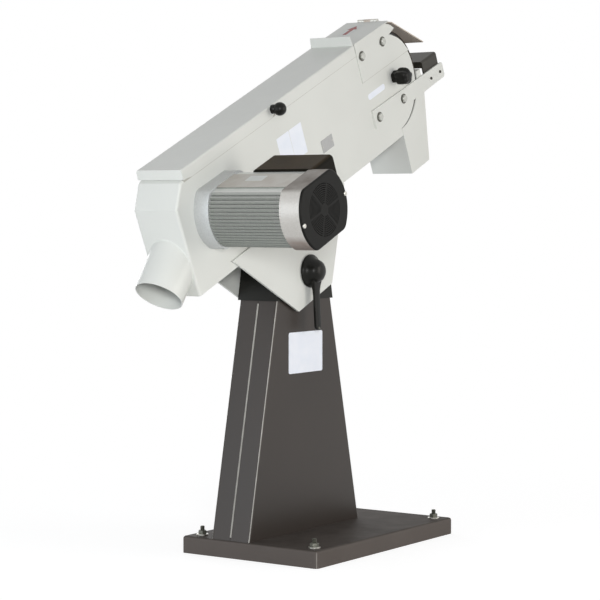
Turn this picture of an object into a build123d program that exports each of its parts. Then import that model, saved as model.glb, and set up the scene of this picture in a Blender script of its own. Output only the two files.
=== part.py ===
from build123d import *
import os
from math import asin, atan2, cos, degrees, hypot, radians, sin, sqrt, tan

os.makedirs("parts", exist_ok=True)

# Lengths are in millimetres and angles in degrees.
# Stand frame: X towards the working end, Y away from the motor, Z up, origin under the base's centre.
# Arm frame: X along the arm from the drive axis, Y across from its middle plane, Z out of its top.

# Fits
RUN_FIT = 0.06            # radial clearance of a round fit that turns or slides
SEAT_FIT = 0.05           # radial clearance of a round fit that stays put
FACE_GAP = 0.3            # gap between faces that move past each other
SWIVEL_FIT = 0.3          # radial clearance that lets the wheel axle yaw in its far block

# Base pan
BASE_LENGTH = 555.0
BASE_WIDTH = 354.0
BASE_HEIGHT = 37.0
BASE_SHEET = 5.0
BASE_CORNER = 8.0         # radius of the upright corners
BASE_BEND = 6.0           # radius of the top edge
ANCHOR_INSET_X = 34.5     # anchor stud to the pan's end
ANCHOR_INSET_Y = 30.0     # anchor stud to the pan's side
ANCHOR_RADIUS = 5.0
ANCHOR_STANDOUT = 20.0    # stud above the pan
ANCHOR_WASHER_RADIUS = 13.0
ANCHOR_WASHER = 2.5
ANCHOR_NUT_RADIUS = 9.8   # over the corners
ANCHOR_NUT = 8.0
SLEEVE_WALL = 6.0

# Column of two folded half-shells
COLUMN_Y = 50.0           # middle plane of column and arm, off the base's centre
COLUMN_DEPTH = 100.0
COLUMN_SHEET = 3.0
COLUMN_BEND = 5.0
COLUMN_SEAM = 1.0
COLUMN_TOP = 552.0
FOOT_BACK = -273.0
FOOT_FRONT = 154.0
TOP_BACK = -167.5
TOP_FRONT = 37.3
LABEL_X = -61.0
LABEL_Z = 431.0
LABEL_WIDTH = 130.0
LABEL_HEIGHT = 90.0
LABEL_SHEET = 0.6

# Cap over the column and the tilt pivot
CAP_LAP = 5.5             # skirt below the column's top
CAP_WALL = 3.0
CAP_RISE = 88.0           # crown above the column's top
CAP_TAPER = 11.0          # slope of the cap's ends
CAP_EDGE = 4.0
CAP_SHELF = 6.0           # ledge that stands on the column
PIVOT_X = -60.0
PIVOT_Z = 609.0
PIVOT_RADIUS = 10.0
PIVOT_BOSS_RADIUS = 22.0
PIVOT_NUT_RADIUS = 17.0
PIVOT_NUT = 16.0
PIVOT_WASHER_RADIUS = 30.0
PIVOT_WASHER = 3.0
PIVOT_THREAD = 3.0        # bolt end beyond the nut

# Clamp lever
CLAMP_DISC_RADIUS = 36.5
CLAMP_DISC = 7.0
CLAMP_HUB_RADIUS = 24.0
CLAMP_HUB = 27.0
CLAMP_HUB_ROUND = 10.0
LEVER_LENGTH = 131.0
LEVER_WIDTH = 16.0
LEVER_THICKNESS = 7.0
LEVER_SEAT = 8.0          # bar's middle from the disc
LEVER_SPLAY = 3.2         # lean of the bar away from the column

# Arm
ARM_TILT = 24.0
PIVOT_U = 241.52          # pivot in the arm frame
PIVOT_W = -255.56
ARM_INSIDE = 105.0        # between the side plates
ARM_SHEET = 3.0
TAIL_U = -130.0
TAIL_FOLD_W = 55.0
TAIL_TOP_U = -95.5
TAIL_TOP_W = 99.7
TAIL_BEND = 5.5
TAIL_RETURN = 9.0         # side flanges folded round to the side plates
TAIL_RIM = 9.5            # rim folded in under the cover's lip
TAIL_RIM_RISE = 3.5
FLOOR_CLEAR = 6.0         # floor below the belt at the wheel
FLOOR_END_GAP = 32.0      # floor's front edge behind the wheel axis
NOSE_INSET = 12.0         # side plate's round nose inside the belt
CHEEK_PLATE = 5.0
CHEEK_LAP = 21.0          # yoke cheek on the side plate
CHEEK_BACK_U = -7.0
CHEEK_FRONT_U = 446.0
CHEEK_LAP_TRIM = 20.0     # upper front corner cut back
CHEEK_FOOT_BACK = 73.2    # cheek foot behind the pivot
CHEEK_FOOT_FRONT = 68.5   # cheek foot ahead of the pivot
CHEEK_FOOT_DROP = 63.4    # cheek foot below the pivot
CHEEK_FOOT_CORNER = 6.0

# Extraction spigot
SPIGOT_RADIUS = 51.0
SPIGOT_WALL = 2.0
SPIGOT_W = -71.0          # where its axis meets the tail panel
SPIGOT_DROP = 31.7        # axis below the arm's axis
SPIGOT_REACH = 70.0       # along its axis, out of the tail panel
SPIGOT_SEAT = 36.0        # plain end for the hose
SPIGOT_STEP = 1.0         # root proud of the hose seat

# Belt, drum and contact wheel
WHEEL_U = 722.0
WHEEL_W = -5.0
WHEEL_RADIUS = 123.2
WHEEL_WIDTH = 96.0
TYRE_DEPTH = 6.0
RIM_DEPTH = 22.0
WEB_THICKNESS = 14.0
WHEEL_HUB_RADIUS = 35.0
WHEEL_HUB_WIDTH = 44.0
WHEEL_HOLES = 6
WHEEL_HOLE_RADIUS = 11.0
DRUM_RADIUS = 100.0
DRUM_RIM = 11.0
DRUM_HUB_RADIUS = 28.0
DRUM_HUB_WIDTH = 60.0
BELT_WIDTH = 100.0
BELT_THICKNESS = 1.5
BELT_GAP = 0.3

# Wheel axle, its blocks, guides and springs
AXLE_RADIUS = 12.5
BEARING_RADIUS = 26.0
BEARING_WIDTH = 15.0
BEARING_SPREAD = 24.0     # between the bearings' middles
BLOCK_LENGTH = 34.0
BLOCK_HEIGHT = 36.0
BLOCK_WIDTH = 19.0
BLOCK_SIDE_GAP = 1.5      # block to side plate
GUIDE_WALL = 10.0
TENSION_TRAVEL = 15.0
SPRING_ROOM = 30.0        # behind an axle block at rest
SPRING_RADIUS = 9.0
SPRING_WIRE = 1.25
SPRING_TURNS = 5
AXLE_SPACER_RADIUS = 17.0

# Tracking knob with its cam
CAM_RADIUS = 7.0
CAM_OFFSET = 0.6
CAM_LENGTH = 12.0
TRACK_KNOB_RISE = 9.0     # knob axis above the wheel axis
TRACK_KNOB_RADIUS = 21.0
TRACK_KNOB_LOBES = 5
TRACK_KNOB_TURN = 215.0   # where the first lobe points
TRACK_KNOB_LOBE_RADIUS = 9.0
TRACK_KNOB_HEIGHT = 29.0
TRACK_HUB_RADIUS = 15.0
TRACK_HUB = 14.0
TRACK_SHAFT_RADIUS = 6.0

# Platen under the belt's upper run
PLATEN_BACK_U = 130.0
PLATEN_FRONT_GAP = 20.0   # to the slackened wheel
PLATEN_PLATE = 8.0
PLATEN_PAD = 3.0
PLATEN_PAD_WIDTH = 96.0
PLATEN_GAP = 0.5          # pad below the belt

# Top cover
COVER_FRONT_W = 132.0     # cover's top at its front end, in the arm frame
COVER_SLOPE = 0.58        # cover's top to the arm's axis
COVER_SHEET = 1.5
COVER_SIDE_GAP = 1.2
COVER_FLANGE = 26.0
COVER_BACK_U = -86.0
COVER_TAIL_FLARE = 2.0
COVER_TAIL_DROP = 21.0    # tail lip's foot below the cover's top
COVER_TAIL_HEEL = 30.0    # length of the flange's rise to the tail lip's foot
COVER_BEND = 4.5
COVER_LIP = 22.0
COVER_LIP_INSET = 1.5     # lip's foot inside the cover's sides
COVER_LIP_SHEET = 2.0
COVER_TO_HOOD = 3.0
COVER_NOTCH = 5.0         # side plate cut back behind the slit at the hood
SIDE_TOP_DROP = 3.5       # side plate's top edge below the cover's outside
COVER_KNOB_U = 257.0
COVER_KNOB_DROP = 9.7     # knob axis below the cover's top
COVER_KNOB_RADIUS = 14.5
COVER_KNOB_STUD_RADIUS = 4.0
COVER_KNOB_COLLAR_RADIUS = 10.0
COVER_KNOB_COLLAR = 9.0
COVER_KNOB_NECK = 10.0
COVER_SLOT = 9.6
HINGE_PIN_RADIUS = 2.5
HINGE_BARREL_RADIUS = 4.5
HINGE_LEAF = 2.0
COVER_HINGE_LENGTH = 84.0
COVER_HINGE_US = (60.0, 440.0)
COVER_HINGE_RISE = 3.0    # hinge axis above the flange's lower edge
COVER_LEAF_HEIGHT = 22.0

# Upper guard hood and spark guard
HOOD_SHEET = 2.5
HOOD_BEND = 2.3
HOOD_CLEAR = 13.5         # hood's outside above the belt
HOOD_BACK = 110.0         # hood's back edge behind the wheel axis
HOOD_FLANGE_LOW = 45.5    # flange's lower edge above the wheel axis
HOOD_FRONT = 47.5         # flat top's front edge ahead of the wheel axis
HOOD_FLAT_FRONT = 13.0    # where the flanges start to round off
HOOD_TIP_FRONT = 65.0
HOOD_TIP_DROP = 24.5
HOOD_TIP_ANGLE = 72.0     # flange's inner end on the nose
HOOD_BOLTS = (-90.0, 5.0)  # bolts from the wheel axis, along the arm
HOOD_BOLT_RISE = 103.0
HOOD_SLOT_LENGTH = 28.0
SPARK_PLATE = 2.5
SPARK_SLOPE = 38.0
SPARK_REACH = 164.0       # plate's tip from the hinge axis
SPARK_WIDTH = 109.0
SPARK_ROOT_GAP = 6.0      # plate's root from the hinge axis
SPARK_SHOULDER = 12.0     # length of the cut back corners
SPARK_HINGE_LENGTH = 54.0
SPARK_LEAF = 20.0         # leaf under the hood's flat top

# Lower guard: brackets, chute and work rest
BRACKET_PLATE = 4.0
BRACKET_BACK = 100.0      # from the wheel axis to the strip's back end
BRACKET_FRONT = 236.0
BRACKET_TOP = 27.0        # strip's top edge below the wheel axis
BRACKET_TIP_TOP = 33.0
BRACKET_LOW = 71.0
BRACKET_TIP_LOW = 70.0
BRACKET_CORNER = 7.0
BRACKET_BOLTS = (-77.0, 37.0)
BRACKET_BOLT_DROP = 50.5
GUARD_BOLT_RADIUS = 5.0
GUARD_BOLT_HEAD_RADIUS = 9.0
GUARD_BOLT_HEAD = 4.0
GUARD_WASHER_RADIUS = 11.5
GUARD_WASHER = 1.5
CHUTE_SHEET = 2.5
CHUTE_SLIT = 1.2
CHUTE_SLIT_SHIFT = 8.0    # slit's widening towards the front
CHUTE_BACK = 9.0          # rear wall ahead of the wheel axis
CHUTE_MOUTH = 85.0
CHUTE_DROP = 229.0        # mouth below the wheel axis
CHUTE_KNEE_FRONT = 137.0
CHUTE_KNEE_DROP = 73.0
CHUTE_LIP_FRONT = 140.0
CHUTE_LIP_DROP = 15.0
REST_BACK = 154.0         # rest's wheel side ahead of the wheel axis
REST_LENGTH = 70.0
REST_DROP = 3.0           # rest's top below the wheel axis
REST_HEIGHT = 62.0
REST_SHEET = 4.0
REST_LIP = 16.0           # down-turned lip on the wheel's side
REST_BEND = 6.0
REST_TRAVEL_IN = 12.0
REST_TRAVEL_OUT = 8.0
REST_SCREWS = (173.0, 218.0)
REST_SCREW_DROP = 52.0
REST_SCREW_RADIUS = 2.0
REST_SCREW_HEAD_RADIUS = 3.5
REST_SCREW_HEAD = 2.2
REST_NUT_RADIUS = 4.1
REST_NUT = 3.2
REST_EAR = 12.0           # flanges' reach ahead of the top leaf

# Motor
MOTOR_RADIUS = 85.0
MOTOR_FLAT = 66.0         # half height over the flats
MOTOR_CORNER = 20.0       # between a flat and the round flank
FRONT_SHIELD = 36.0
FIN_BODY = 175.0
REAR_SHIELD = 47.0
FAN_COVER = 4.5
FAN_COVER_ROUND = 3.4
FIN_STEP = 6.9
FIN_THICKNESS = 4.2
FIN_INSET = 1.5           # fin tips inside the shields' outline
FIN_CORE_RADIUS = 66.0
FIN_FLAT = 32.5           # half width of the plates on the finned body's flats
FIN_CORNER = 47.5         # between the finned body's flats and flanks
STATOR_RADIUS = 58.0
STATOR_LENGTH = 120.0
ROTOR_RADIUS = 34.5
AIR_GAP = 0.6
SHAFT_RADIUS = 14.0
SHAFT_PASS = 4.0          # gap round the shaft where it passes a wall
MOTOR_BEARING_RADIUS = 31.0
MOTOR_BEARING_WIDTH = 16.0
SHIELD_WALL = 4.0         # web beside a motor bearing
FAN_RADIUS = 56.0
FAN_HUB_RADIUS = 20.0
FAN_DEPTH = 18.0
FAN_BLADES = 7
FAN_BLADE = 3.0
FAN_ROOM = 6.0            # round the fan
COVER_FACE = 2.5
VENT_RINGS = 10
VENT_INNER = 14.0
VENT_PITCH = 4.2
VENT_SLOT = 1.4
VENT_SPOKE = 4.0
FAN_SCREW_U = 79.0
FAN_SCREW_RADIUS = 2.5
FAN_SCREW_HEAD_RADIUS = 5.0
FAN_SCREW_HEAD = 2.5
FAN_SCREW_LENGTH = 16.0
FLANGE_BOLT_REACH = 70.0  # from the drive axis
FLANGE_BOLT_RADIUS = 4.0
FLANGE_BOLT_HEAD_RADIUS = 7.0
FLANGE_BOLT_HEAD = 3.0
FLANGE_BOLT_DEPTH = 18.0

# Switch box on the motor
BOX_FRONT_U = 124.5
BOX_TOP_W = 67.0
BOX_LOW_W = -25.0
BOX_START = 71.7          # from the side plate's outside to the box
BOX_LENGTH = 150.8
BOX_WALL = 3.0
BOX_CORNER = 9.0
BOX_LID = 4.0
BOX_BACK_U = 50.0
BOX_CAVITY_BACK_U = 90.0
BUTTON_RADIUS = 10.0
BUTTON_FLANGE_RADIUS = 12.5
BUTTON_FLANGE = 3.0
BUTTON_STANDOUT = 6.0
BUTTON_SPREAD = 40.0
GLAND_RADIUS = 10.0
GLAND_HEX_RADIUS = 14.0
GLAND_LENGTH = 22.0
GLAND_BORE = 5.0

# Worked out from the driving dimensions
ARM_HALF = ARM_INSIDE / 2
SIDE_OUT = ARM_HALF + ARM_SHEET
CHEEK_OUT = SIDE_OUT + CHEEK_PLATE
BELT_IN_WHEEL = WHEEL_RADIUS + BELT_GAP
BELT_IN_DRUM = DRUM_RADIUS + BELT_GAP
BELT_OUT = BELT_IN_WHEEL + BELT_THICKNESS
NOSE_RADIUS = BELT_OUT - NOSE_INSET
FLOOR_W = WHEEL_W - BELT_OUT - FLOOR_CLEAR
AXIS_DISTANCE = hypot(WHEEL_U, WHEEL_W)
RUN_ANGLE = degrees(asin((BELT_IN_WHEEL - BELT_IN_DRUM) / AXIS_DISTANCE) + atan2(WHEEL_W, WHEEL_U))
HOOD_W = WHEEL_W + BELT_OUT + HOOD_CLEAR
HOOD_BACK_U = WHEEL_U - HOOD_BACK
HOOD_OUT = SIDE_OUT + HOOD_SHEET
BRACKET_OUT = SIDE_OUT + BRACKET_PLATE
COVER_FRONT_U = HOOD_BACK_U - COVER_TO_HOOD
COVER_IN = SIDE_OUT + COVER_SIDE_GAP
COVER_OUT = COVER_IN + COVER_SHEET
CAM_U = WHEEL_U + BLOCK_LENGTH / 2 + FACE_GAP + CAM_RADIUS
TRACK_KNOB_W = WHEEL_W + TRACK_KNOB_RISE
GUIDE_IN = ARM_HALF - BLOCK_SIDE_GAP - BLOCK_WIDTH
BLOCK_OUT = ARM_HALF - BLOCK_SIDE_GAP
MOTOR_FRONT = -SIDE_OUT
MOTOR_FINS = MOTOR_FRONT - FRONT_SHIELD
MOTOR_REAR = MOTOR_FINS - FIN_BODY
MOTOR_END = MOTOR_REAR - REAR_SHIELD
CAP_HALF = COLUMN_DEPTH / 2 + SEAT_FIT + CAP_WALL
CAP_LIP_Z = COLUMN_TOP - CAP_LAP
CAP_CROWN_Z = COLUMN_TOP + CAP_RISE
ANCHOR_X = BASE_LENGTH / 2 - ANCHOR_INSET_X
ANCHOR_Y = BASE_WIDTH / 2 - ANCHOR_INSET_Y
BOX_NEAR = MOTOR_FRONT - BOX_START
BOX_FAR = BOX_NEAR - BOX_LENGTH

WHEEL_AXIS = (WHEEL_U, WHEEL_W)
DRIVE_AXIS = (0.0, 0.0)
SIDES = (-1, 1)

PIVOT_TURN = Location((PIVOT_X, COLUMN_Y, PIVOT_Z), (0, -ARM_TILT, 0))
ARM = PIVOT_TURN * Location((-PIVOT_U, 0, -PIVOT_W))
UPRIGHT = Location((0, COLUMN_Y, 0))
NODES = {}


def keep(name, *solids, place=Location()):
    """Store one named piece, or a group of like pieces, at its place in the machine."""
    NODES[name] = [place * solid for solid in solids]


def prism(face, low, high):
    """A face drawn in the X-Z plane, extruded across the machine from Y low to Y high."""
    return extrude(Plane.XZ.offset(-high) * face, high - low)


def on_side(face, inner, outer, side):
    """The same prism on the near (-1) or far (+1) side of the middle plane."""
    return prism(face, min(side * inner, side * outer), max(side * inner, side * outer))


def shape(*points):
    return make_face(Polyline(*points, close=True))


def disc(at, radius):
    return Pos(*at) * Circle(radius)


def rod(at, radius, low, high):
    return prism(disc(at, radius), low, high)


def pipe(at, radius, bore, low, high):
    return prism(disc(at, radius) - disc(at, bore), low, high)


def hexagon(at, radius, low, high):
    return prism(Pos(*at) * RegularPolygon(radius, 6), low, high)


def block(u0, u1, w0, w1, low, high):
    return prism(Pos((u0 + u1) / 2, (w0 + w1) / 2) * Rectangle(u1 - u0, w1 - w0), low, high)


def run_w(u, height=0.0):
    """Height in the arm frame of a line parallel to the belt's upper run, above its inner face."""
    return (BELT_IN_DRUM + height + u * sin(radians(RUN_ANGLE))) / cos(radians(RUN_ANGLE))


def cover_w(u, below=0.0):
    """Height in the arm frame of the cover's top at u, or of a line below it."""
    return COVER_FRONT_W + (u - COVER_FRONT_U) * tan(radians(COVER_SLOPE)) - below


def inset(points, depth):
    """The same open line moved by depth to its right, with mitred corners."""
    moved = []
    for index, point in enumerate(points):
        normals = []
        for a, b in zip(points[max(index - 1, 0):], points[max(index - 1, 0) + 1:index + 2]):
            length = hypot(b[0] - a[0], b[1] - a[1])
            normals.append(((b[1] - a[1]) / length, (a[0] - b[0]) / length))
        first = normals[0]
        last = normals[-1]
        reach = depth / (1 + first[0] * last[0] + first[1] * last[1])
        moved.append((point[0] + reach * (first[0] + last[0]), point[1] + reach * (first[1] + last[1])))
    return moved


def strip(points, depth):
    """A bent sheet seen end-on: a line and its inset."""
    return shape(*points, *reversed(inset(points, depth)))


def polar(at, radius, angle):
    return (at[0] + radius * cos(radians(angle)), at[1] + radius * sin(radians(angle)))


def base():
    plate = Rectangle(BASE_LENGTH, BASE_WIDTH)
    outside = extrude(fillet(plate.vertices(), BASE_CORNER), BASE_HEIGHT)
    outside = fillet(outside.faces().sort_by(Axis.Z)[-1].edges(), BASE_BEND)
    room = Rectangle(BASE_LENGTH - 2 * BASE_SHEET, BASE_WIDTH - 2 * BASE_SHEET)
    inside = extrude(fillet(room.vertices(), BASE_CORNER - BASE_SHEET), BASE_HEIGHT - BASE_SHEET)
    corners = [(sx * ANCHOR_X, sy * ANCHOR_Y) for sx in SIDES for sy in SIDES]
    pan = outside - inside
    for corner in corners:
        pan -= Pos(*corner, BASE_HEIGHT) * Cylinder(ANCHOR_RADIUS + SEAT_FIT, 4 * BASE_SHEET)
    floor = (Align.CENTER, Align.CENTER, Align.MIN)
    tube = Cylinder(ANCHOR_RADIUS + SLEEVE_WALL, BASE_HEIGHT - BASE_SHEET / 2, align=floor)
    tube -= Cylinder(ANCHOR_RADIUS + SEAT_FIT, 3 * BASE_HEIGHT)
    for corner in corners:
        pan += Pos(*corner) * tube
    keep("base_pan", pan)
    stud = Cylinder(ANCHOR_RADIUS, BASE_HEIGHT + ANCHOR_STANDOUT, align=floor)
    stud = chamfer(stud.edges().sort_by(Axis.Z)[-1], ANCHOR_RADIUS / 5)
    keep("anchor_studs", *[Pos(*corner) * stud for corner in corners])
    washer = Cylinder(ANCHOR_WASHER_RADIUS, ANCHOR_WASHER, align=floor)
    washer -= Cylinder(ANCHOR_RADIUS + SEAT_FIT, 3 * ANCHOR_WASHER)
    washers = [Pos(*corner, BASE_HEIGHT) * washer for corner in corners]
    nut = extrude(RegularPolygon(ANCHOR_NUT_RADIUS, 6) - Circle(ANCHOR_RADIUS + SEAT_FIT), ANCHOR_NUT)
    nuts = [Pos(*corner, BASE_HEIGHT + ANCHOR_WASHER) * nut for corner in corners]
    keep("anchor_nuts_and_washers", *nuts, *washers)


def column_end(z, back):
    """X of the column's back or front end at height z."""
    foot, top = (FOOT_BACK, TOP_BACK) if back else (FOOT_FRONT, TOP_FRONT)
    return foot + (top - foot) * (z - BASE_HEIGHT) / (COLUMN_TOP - BASE_HEIGHT)


def column_shell(side):
    """One folded half: a face sheet and two end flanges that meet the other half at the seam."""
    half = COLUMN_DEPTH / 2
    corners = [(column_end(z, back), z) for z, back in
               ((BASE_HEIGHT, True), (BASE_HEIGHT, False), (COLUMN_TOP, False), (COLUMN_TOP, True))]
    body = on_side(shape(*corners), COLUMN_SEAM / 2, half, side)
    folds = [edge for edge in body.edges()
             if abs(edge.center().Y - side * half) < 0.01 and abs(edge.tangent_at(0.5).Z) > 0.5]
    body = fillet(folds, COLUMN_BEND)
    over = 2 * COLUMN_SHEET
    low = BASE_HEIGHT - over
    high = COLUMN_TOP + over
    room = [(column_end(z, back) + (COLUMN_SHEET if back else -COLUMN_SHEET), z) for z, back in
            ((low, True), (low, False), (high, False), (high, True))]
    return body - on_side(shape(*room), -COLUMN_SEAM, half - COLUMN_SHEET, side)


def column():
    keep("column_near_shell", column_shell(-1), place=UPRIGHT)
    keep("column_far_shell", column_shell(1), place=UPRIGHT)
    plate = Pos(LABEL_X, LABEL_Z) * RectangleRounded(LABEL_WIDTH, LABEL_HEIGHT, LABEL_HEIGHT / 20)
    near = -COLUMN_DEPTH / 2
    keep("blank_label_plate", prism(plate, near - LABEL_SHEET, near), place=UPRIGHT)


def cap_outline(grow, low, high):
    """The cap's side view between two heights, grown outwards."""
    lean = tan(radians(CAP_TAPER))
    back = column_end(CAP_LIP_Z, True) - CAP_WALL - SEAT_FIT
    front = column_end(CAP_LIP_Z, False) + CAP_WALL + SEAT_FIT
    ends = []
    for z in (low, high):
        ends.append((back - grow + lean * (z - CAP_LIP_Z), front + grow - lean * (z - CAP_LIP_Z)))
    return shape((ends[0][0], low), (ends[0][1], low), (ends[1][1], high), (ends[1][0], high))


def cap():
    """A black saddle that drops over the column, stands on its rim and carries the pivot bolt."""
    body = prism(cap_outline(0, CAP_LIP_Z, CAP_CROWN_Z), -CAP_HALF, CAP_HALF)
    crown = body.faces().sort_by(Axis.Z)[-1].edges()
    body = fillet(crown, CAP_EDGE)
    skirt_half = COLUMN_DEPTH / 2 + SEAT_FIT
    low = CAP_LIP_Z - CAP_LAP
    skirt = shape((column_end(low, True) - SEAT_FIT, low), (column_end(low, False) + SEAT_FIT, low),
                  (column_end(COLUMN_TOP, False) + SEAT_FIT, COLUMN_TOP),
                  (column_end(COLUMN_TOP, True) - SEAT_FIT, COLUMN_TOP))
    body -= prism(skirt, -skirt_half, skirt_half)
    room_half = CAP_HALF - CAP_WALL - CAP_SHELF
    room = cap_outline(-CAP_WALL - CAP_SHELF, CAP_LIP_Z, CAP_CROWN_Z - CAP_WALL)
    body -= prism(room, -room_half, room_half)
    body += rod((PIVOT_X, PIVOT_Z), PIVOT_BOSS_RADIUS, -room_half, room_half)
    body -= rod((PIVOT_X, PIVOT_Z), PIVOT_RADIUS + SEAT_FIT, -2 * CAP_HALF, 2 * CAP_HALF)
    keep("column_cap", body, place=UPRIGHT)


def pivot():
    at = (PIVOT_X, PIVOT_Z)
    nut_face = CHEEK_OUT + FACE_GAP + PIVOT_WASHER
    near_end = -CHEEK_OUT - FACE_GAP - CLAMP_DISC - CLAMP_HUB / 2
    bolt = rod(at, PIVOT_RADIUS, near_end, nut_face + PIVOT_NUT + PIVOT_THREAD)
    keep("pivot_bolt", bolt, place=UPRIGHT)
    bore = PIVOT_RADIUS + SEAT_FIT
    near = pipe(at, PIVOT_WASHER_RADIUS, bore, -SIDE_OUT + FACE_GAP, -CAP_HALF)
    far = pipe(at, PIVOT_WASHER_RADIUS, bore, CAP_HALF, SIDE_OUT - FACE_GAP)
    end = pipe(at, PIVOT_WASHER_RADIUS * 0.7, bore, nut_face - PIVOT_WASHER, nut_face)
    nut = hexagon(at, PIVOT_NUT_RADIUS, nut_face, nut_face + PIVOT_NUT)
    nut -= rod(at, bore, nut_face - 1, nut_face + 2 * PIVOT_NUT)
    keep("pivot_nut_and_washers", nut, near, far, end, place=UPRIGHT)


def clamp():
    """The black clamp disc and hub on the near end of the pivot bolt, and the bar that turns it."""
    at = (PIVOT_X, PIVOT_Z)
    face = -CHEEK_OUT - FACE_GAP
    plate = rod(at, CLAMP_DISC_RADIUS, face - CLAMP_DISC, face)
    plate = fillet(plate.faces().sort_by(Axis.Y)[0].edges(), CLAMP_DISC / 3)
    hub = rod(at, CLAMP_HUB_RADIUS, face - CLAMP_DISC - CLAMP_HUB, face - CLAMP_DISC / 2)
    hub = fillet(hub.faces().sort_by(Axis.Y)[0].edges(), CLAMP_HUB_ROUND)
    socket = rod(at, PIVOT_RADIUS + RUN_FIT, face - CLAMP_DISC - CLAMP_HUB / 2 - FACE_GAP, face + 1)
    bar = Rectangle(LEVER_WIDTH, LEVER_LENGTH - CLAMP_HUB_RADIUS / 2, align=(Align.CENTER, Align.MAX))
    bar = fillet(bar.vertices().sort_by(Axis.Y)[:2], LEVER_WIDTH / 2.5)
    bar = prism(bar, -LEVER_THICKNESS / 2, LEVER_THICKNESS / 2)
    root = face - CLAMP_DISC - LEVER_SEAT
    seat = Location((PIVOT_X, root, PIVOT_Z - CLAMP_HUB_RADIUS / 2), (-LEVER_SPLAY, 0, 0))
    bar = seat * bar
    keep("clamp_hub", plate + hub - socket - bar, place=UPRIGHT)
    keep("clamp_lever", bar, place=UPRIGHT)


def tail_line():
    """Outside of the tail from the floor up: upright, fold, slope, rim under the cover."""
    return [(TAIL_U, FLOOR_W), (TAIL_U, TAIL_FOLD_W), (TAIL_TOP_U, TAIL_TOP_W),
            (TAIL_TOP_U + TAIL_RIM, TAIL_TOP_W + TAIL_RIM_RISE)]


def side_outline():
    """Side plate: tail, top edge under the cover, notch at the hood, round nose, straight floor edge."""
    tail = inset(tail_line(), TAIL_RETURN)
    back = COVER_BACK_U + COVER_SHEET + COVER_SIDE_GAP
    notch_back = COVER_FRONT_U - COVER_NOTCH
    notch_front = HOOD_BACK_U + COVER_NOTCH
    notch_low = cover_w(COVER_FRONT_U, COVER_FLANGE - COVER_NOTCH)
    top = [(back, cover_w(back, SIDE_TOP_DROP)), (notch_back, cover_w(notch_back, SIDE_TOP_DROP)),
           (notch_back, notch_low), (notch_front, notch_low),
           (notch_front, HOOD_W - HOOD_SHEET - SIDE_TOP_DROP), (WHEEL_U, WHEEL_W + NOSE_RADIUS)]
    heel = WHEEL_U + CHUTE_BACK - CHUTE_SLIT
    plate = shape(*tail, *top, WHEEL_AXIS, (heel, WHEEL_W - NOSE_RADIUS / 2), (heel, FLOOR_W))
    return plate + disc(WHEEL_AXIS, NOSE_RADIUS)


def guard_bolt_places():
    hood = [(WHEEL_U + along, WHEEL_W + HOOD_BOLT_RISE) for along in HOOD_BOLTS]
    bracket = [(WHEEL_U + along, WHEEL_W - BRACKET_BOLT_DROP) for along in BRACKET_BOLTS]
    return hood, bracket


def cover_knob_place():
    return (COVER_KNOB_U, cover_w(COVER_KNOB_U, COVER_KNOB_DROP))


def flange_bolt_places():
    return [polar(DRIVE_AXIS, FLANGE_BOLT_REACH, 45 + 90 * step) for step in range(4)]


def arm_sides():
    hood, bracket = guard_bolt_places()
    for name, side in (("arm_side_near", -1), ("arm_side_far", 1)):
        plate = side_outline()
        for at in hood + bracket:
            plate -= disc(at, GUARD_BOLT_RADIUS + SEAT_FIT)
        if side < 0:
            plate -= disc(DRIVE_AXIS, SHAFT_RADIUS + SHAFT_PASS)
            plate -= disc(cover_knob_place(), COVER_KNOB_STUD_RADIUS + RUN_FIT)
            plate -= disc((CAM_U, TRACK_KNOB_W), TRACK_SHAFT_RADIUS + RUN_FIT)
            for at in flange_bolt_places():
                plate -= disc(at, FLANGE_BOLT_RADIUS + SEAT_FIT)
        keep(name, on_side(plate, ARM_HALF, SIDE_OUT, side), place=ARM)


def spigot_frame():
    """Frame at the tail panel whose Z runs out along the spigot."""
    return Location((TAIL_U, 0, SPIGOT_W), (0, -90 - SPIGOT_DROP, 0))


def tail():
    """One folded sheet for the tail and the floor, and the extraction spigot welded into it."""
    outer = tail_line()
    panel = prism(strip(outer, TAIL_RETURN), -SIDE_OUT, SIDE_OUT)
    middles = [(first[0] + second[0]) / 2 for first, second in zip(outer, outer[1:])]
    rims = [edge for edge in panel.edges()
            if abs(abs(edge.center().Y) - SIDE_OUT) < 0.01 and edge.length > 2 * ARM_SHEET]
    outer_rims = []
    for edge in rims:
        gaps = [abs(edge.center().X - middle) for middle in middles]
        if min(gaps) < ARM_SHEET / 4:
            outer_rims.append(edge)
    panel = fillet(outer_rims, TAIL_BEND)
    panel -= prism(strip(inset(outer, ARM_SHEET), TAIL_RETURN), -ARM_HALF, ARM_HALF)
    frame = spigot_frame()
    panel -= frame * Cylinder(SPIGOT_RADIUS + SPIGOT_STEP + SEAT_FIT, 6 * SPIGOT_RADIUS)
    floor_front = WHEEL_U - FLOOR_END_GAP
    panel += block(TAIL_U + ARM_SHEET / 2, floor_front, FLOOR_W, FLOOR_W + ARM_SHEET, -ARM_HALF, ARM_HALF)
    keep("tail_and_floor_panel", panel, place=ARM)
    low = (Align.CENTER, Align.CENTER, Align.MIN)
    start = -2 * SPIGOT_RADIUS
    seat = SPIGOT_REACH - SPIGOT_SEAT
    tube = Pos(0, 0, start) * Cylinder(SPIGOT_RADIUS + SPIGOT_STEP, seat - start, align=low)
    tube += Pos(0, 0, seat) * Cylinder(SPIGOT_RADIUS, SPIGOT_SEAT, align=low)
    tube -= Cylinder(SPIGOT_RADIUS - SPIGOT_WALL, 9 * SPIGOT_RADIUS)
    inside = 9 * SPIGOT_RADIUS
    tube = frame * tube
    tube -= block(TAIL_U + ARM_SHEET, TAIL_U + inside, -inside, inside, -ARM_INSIDE, ARM_INSIDE)
    keep("extraction_spigot", tube, place=ARM)


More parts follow.
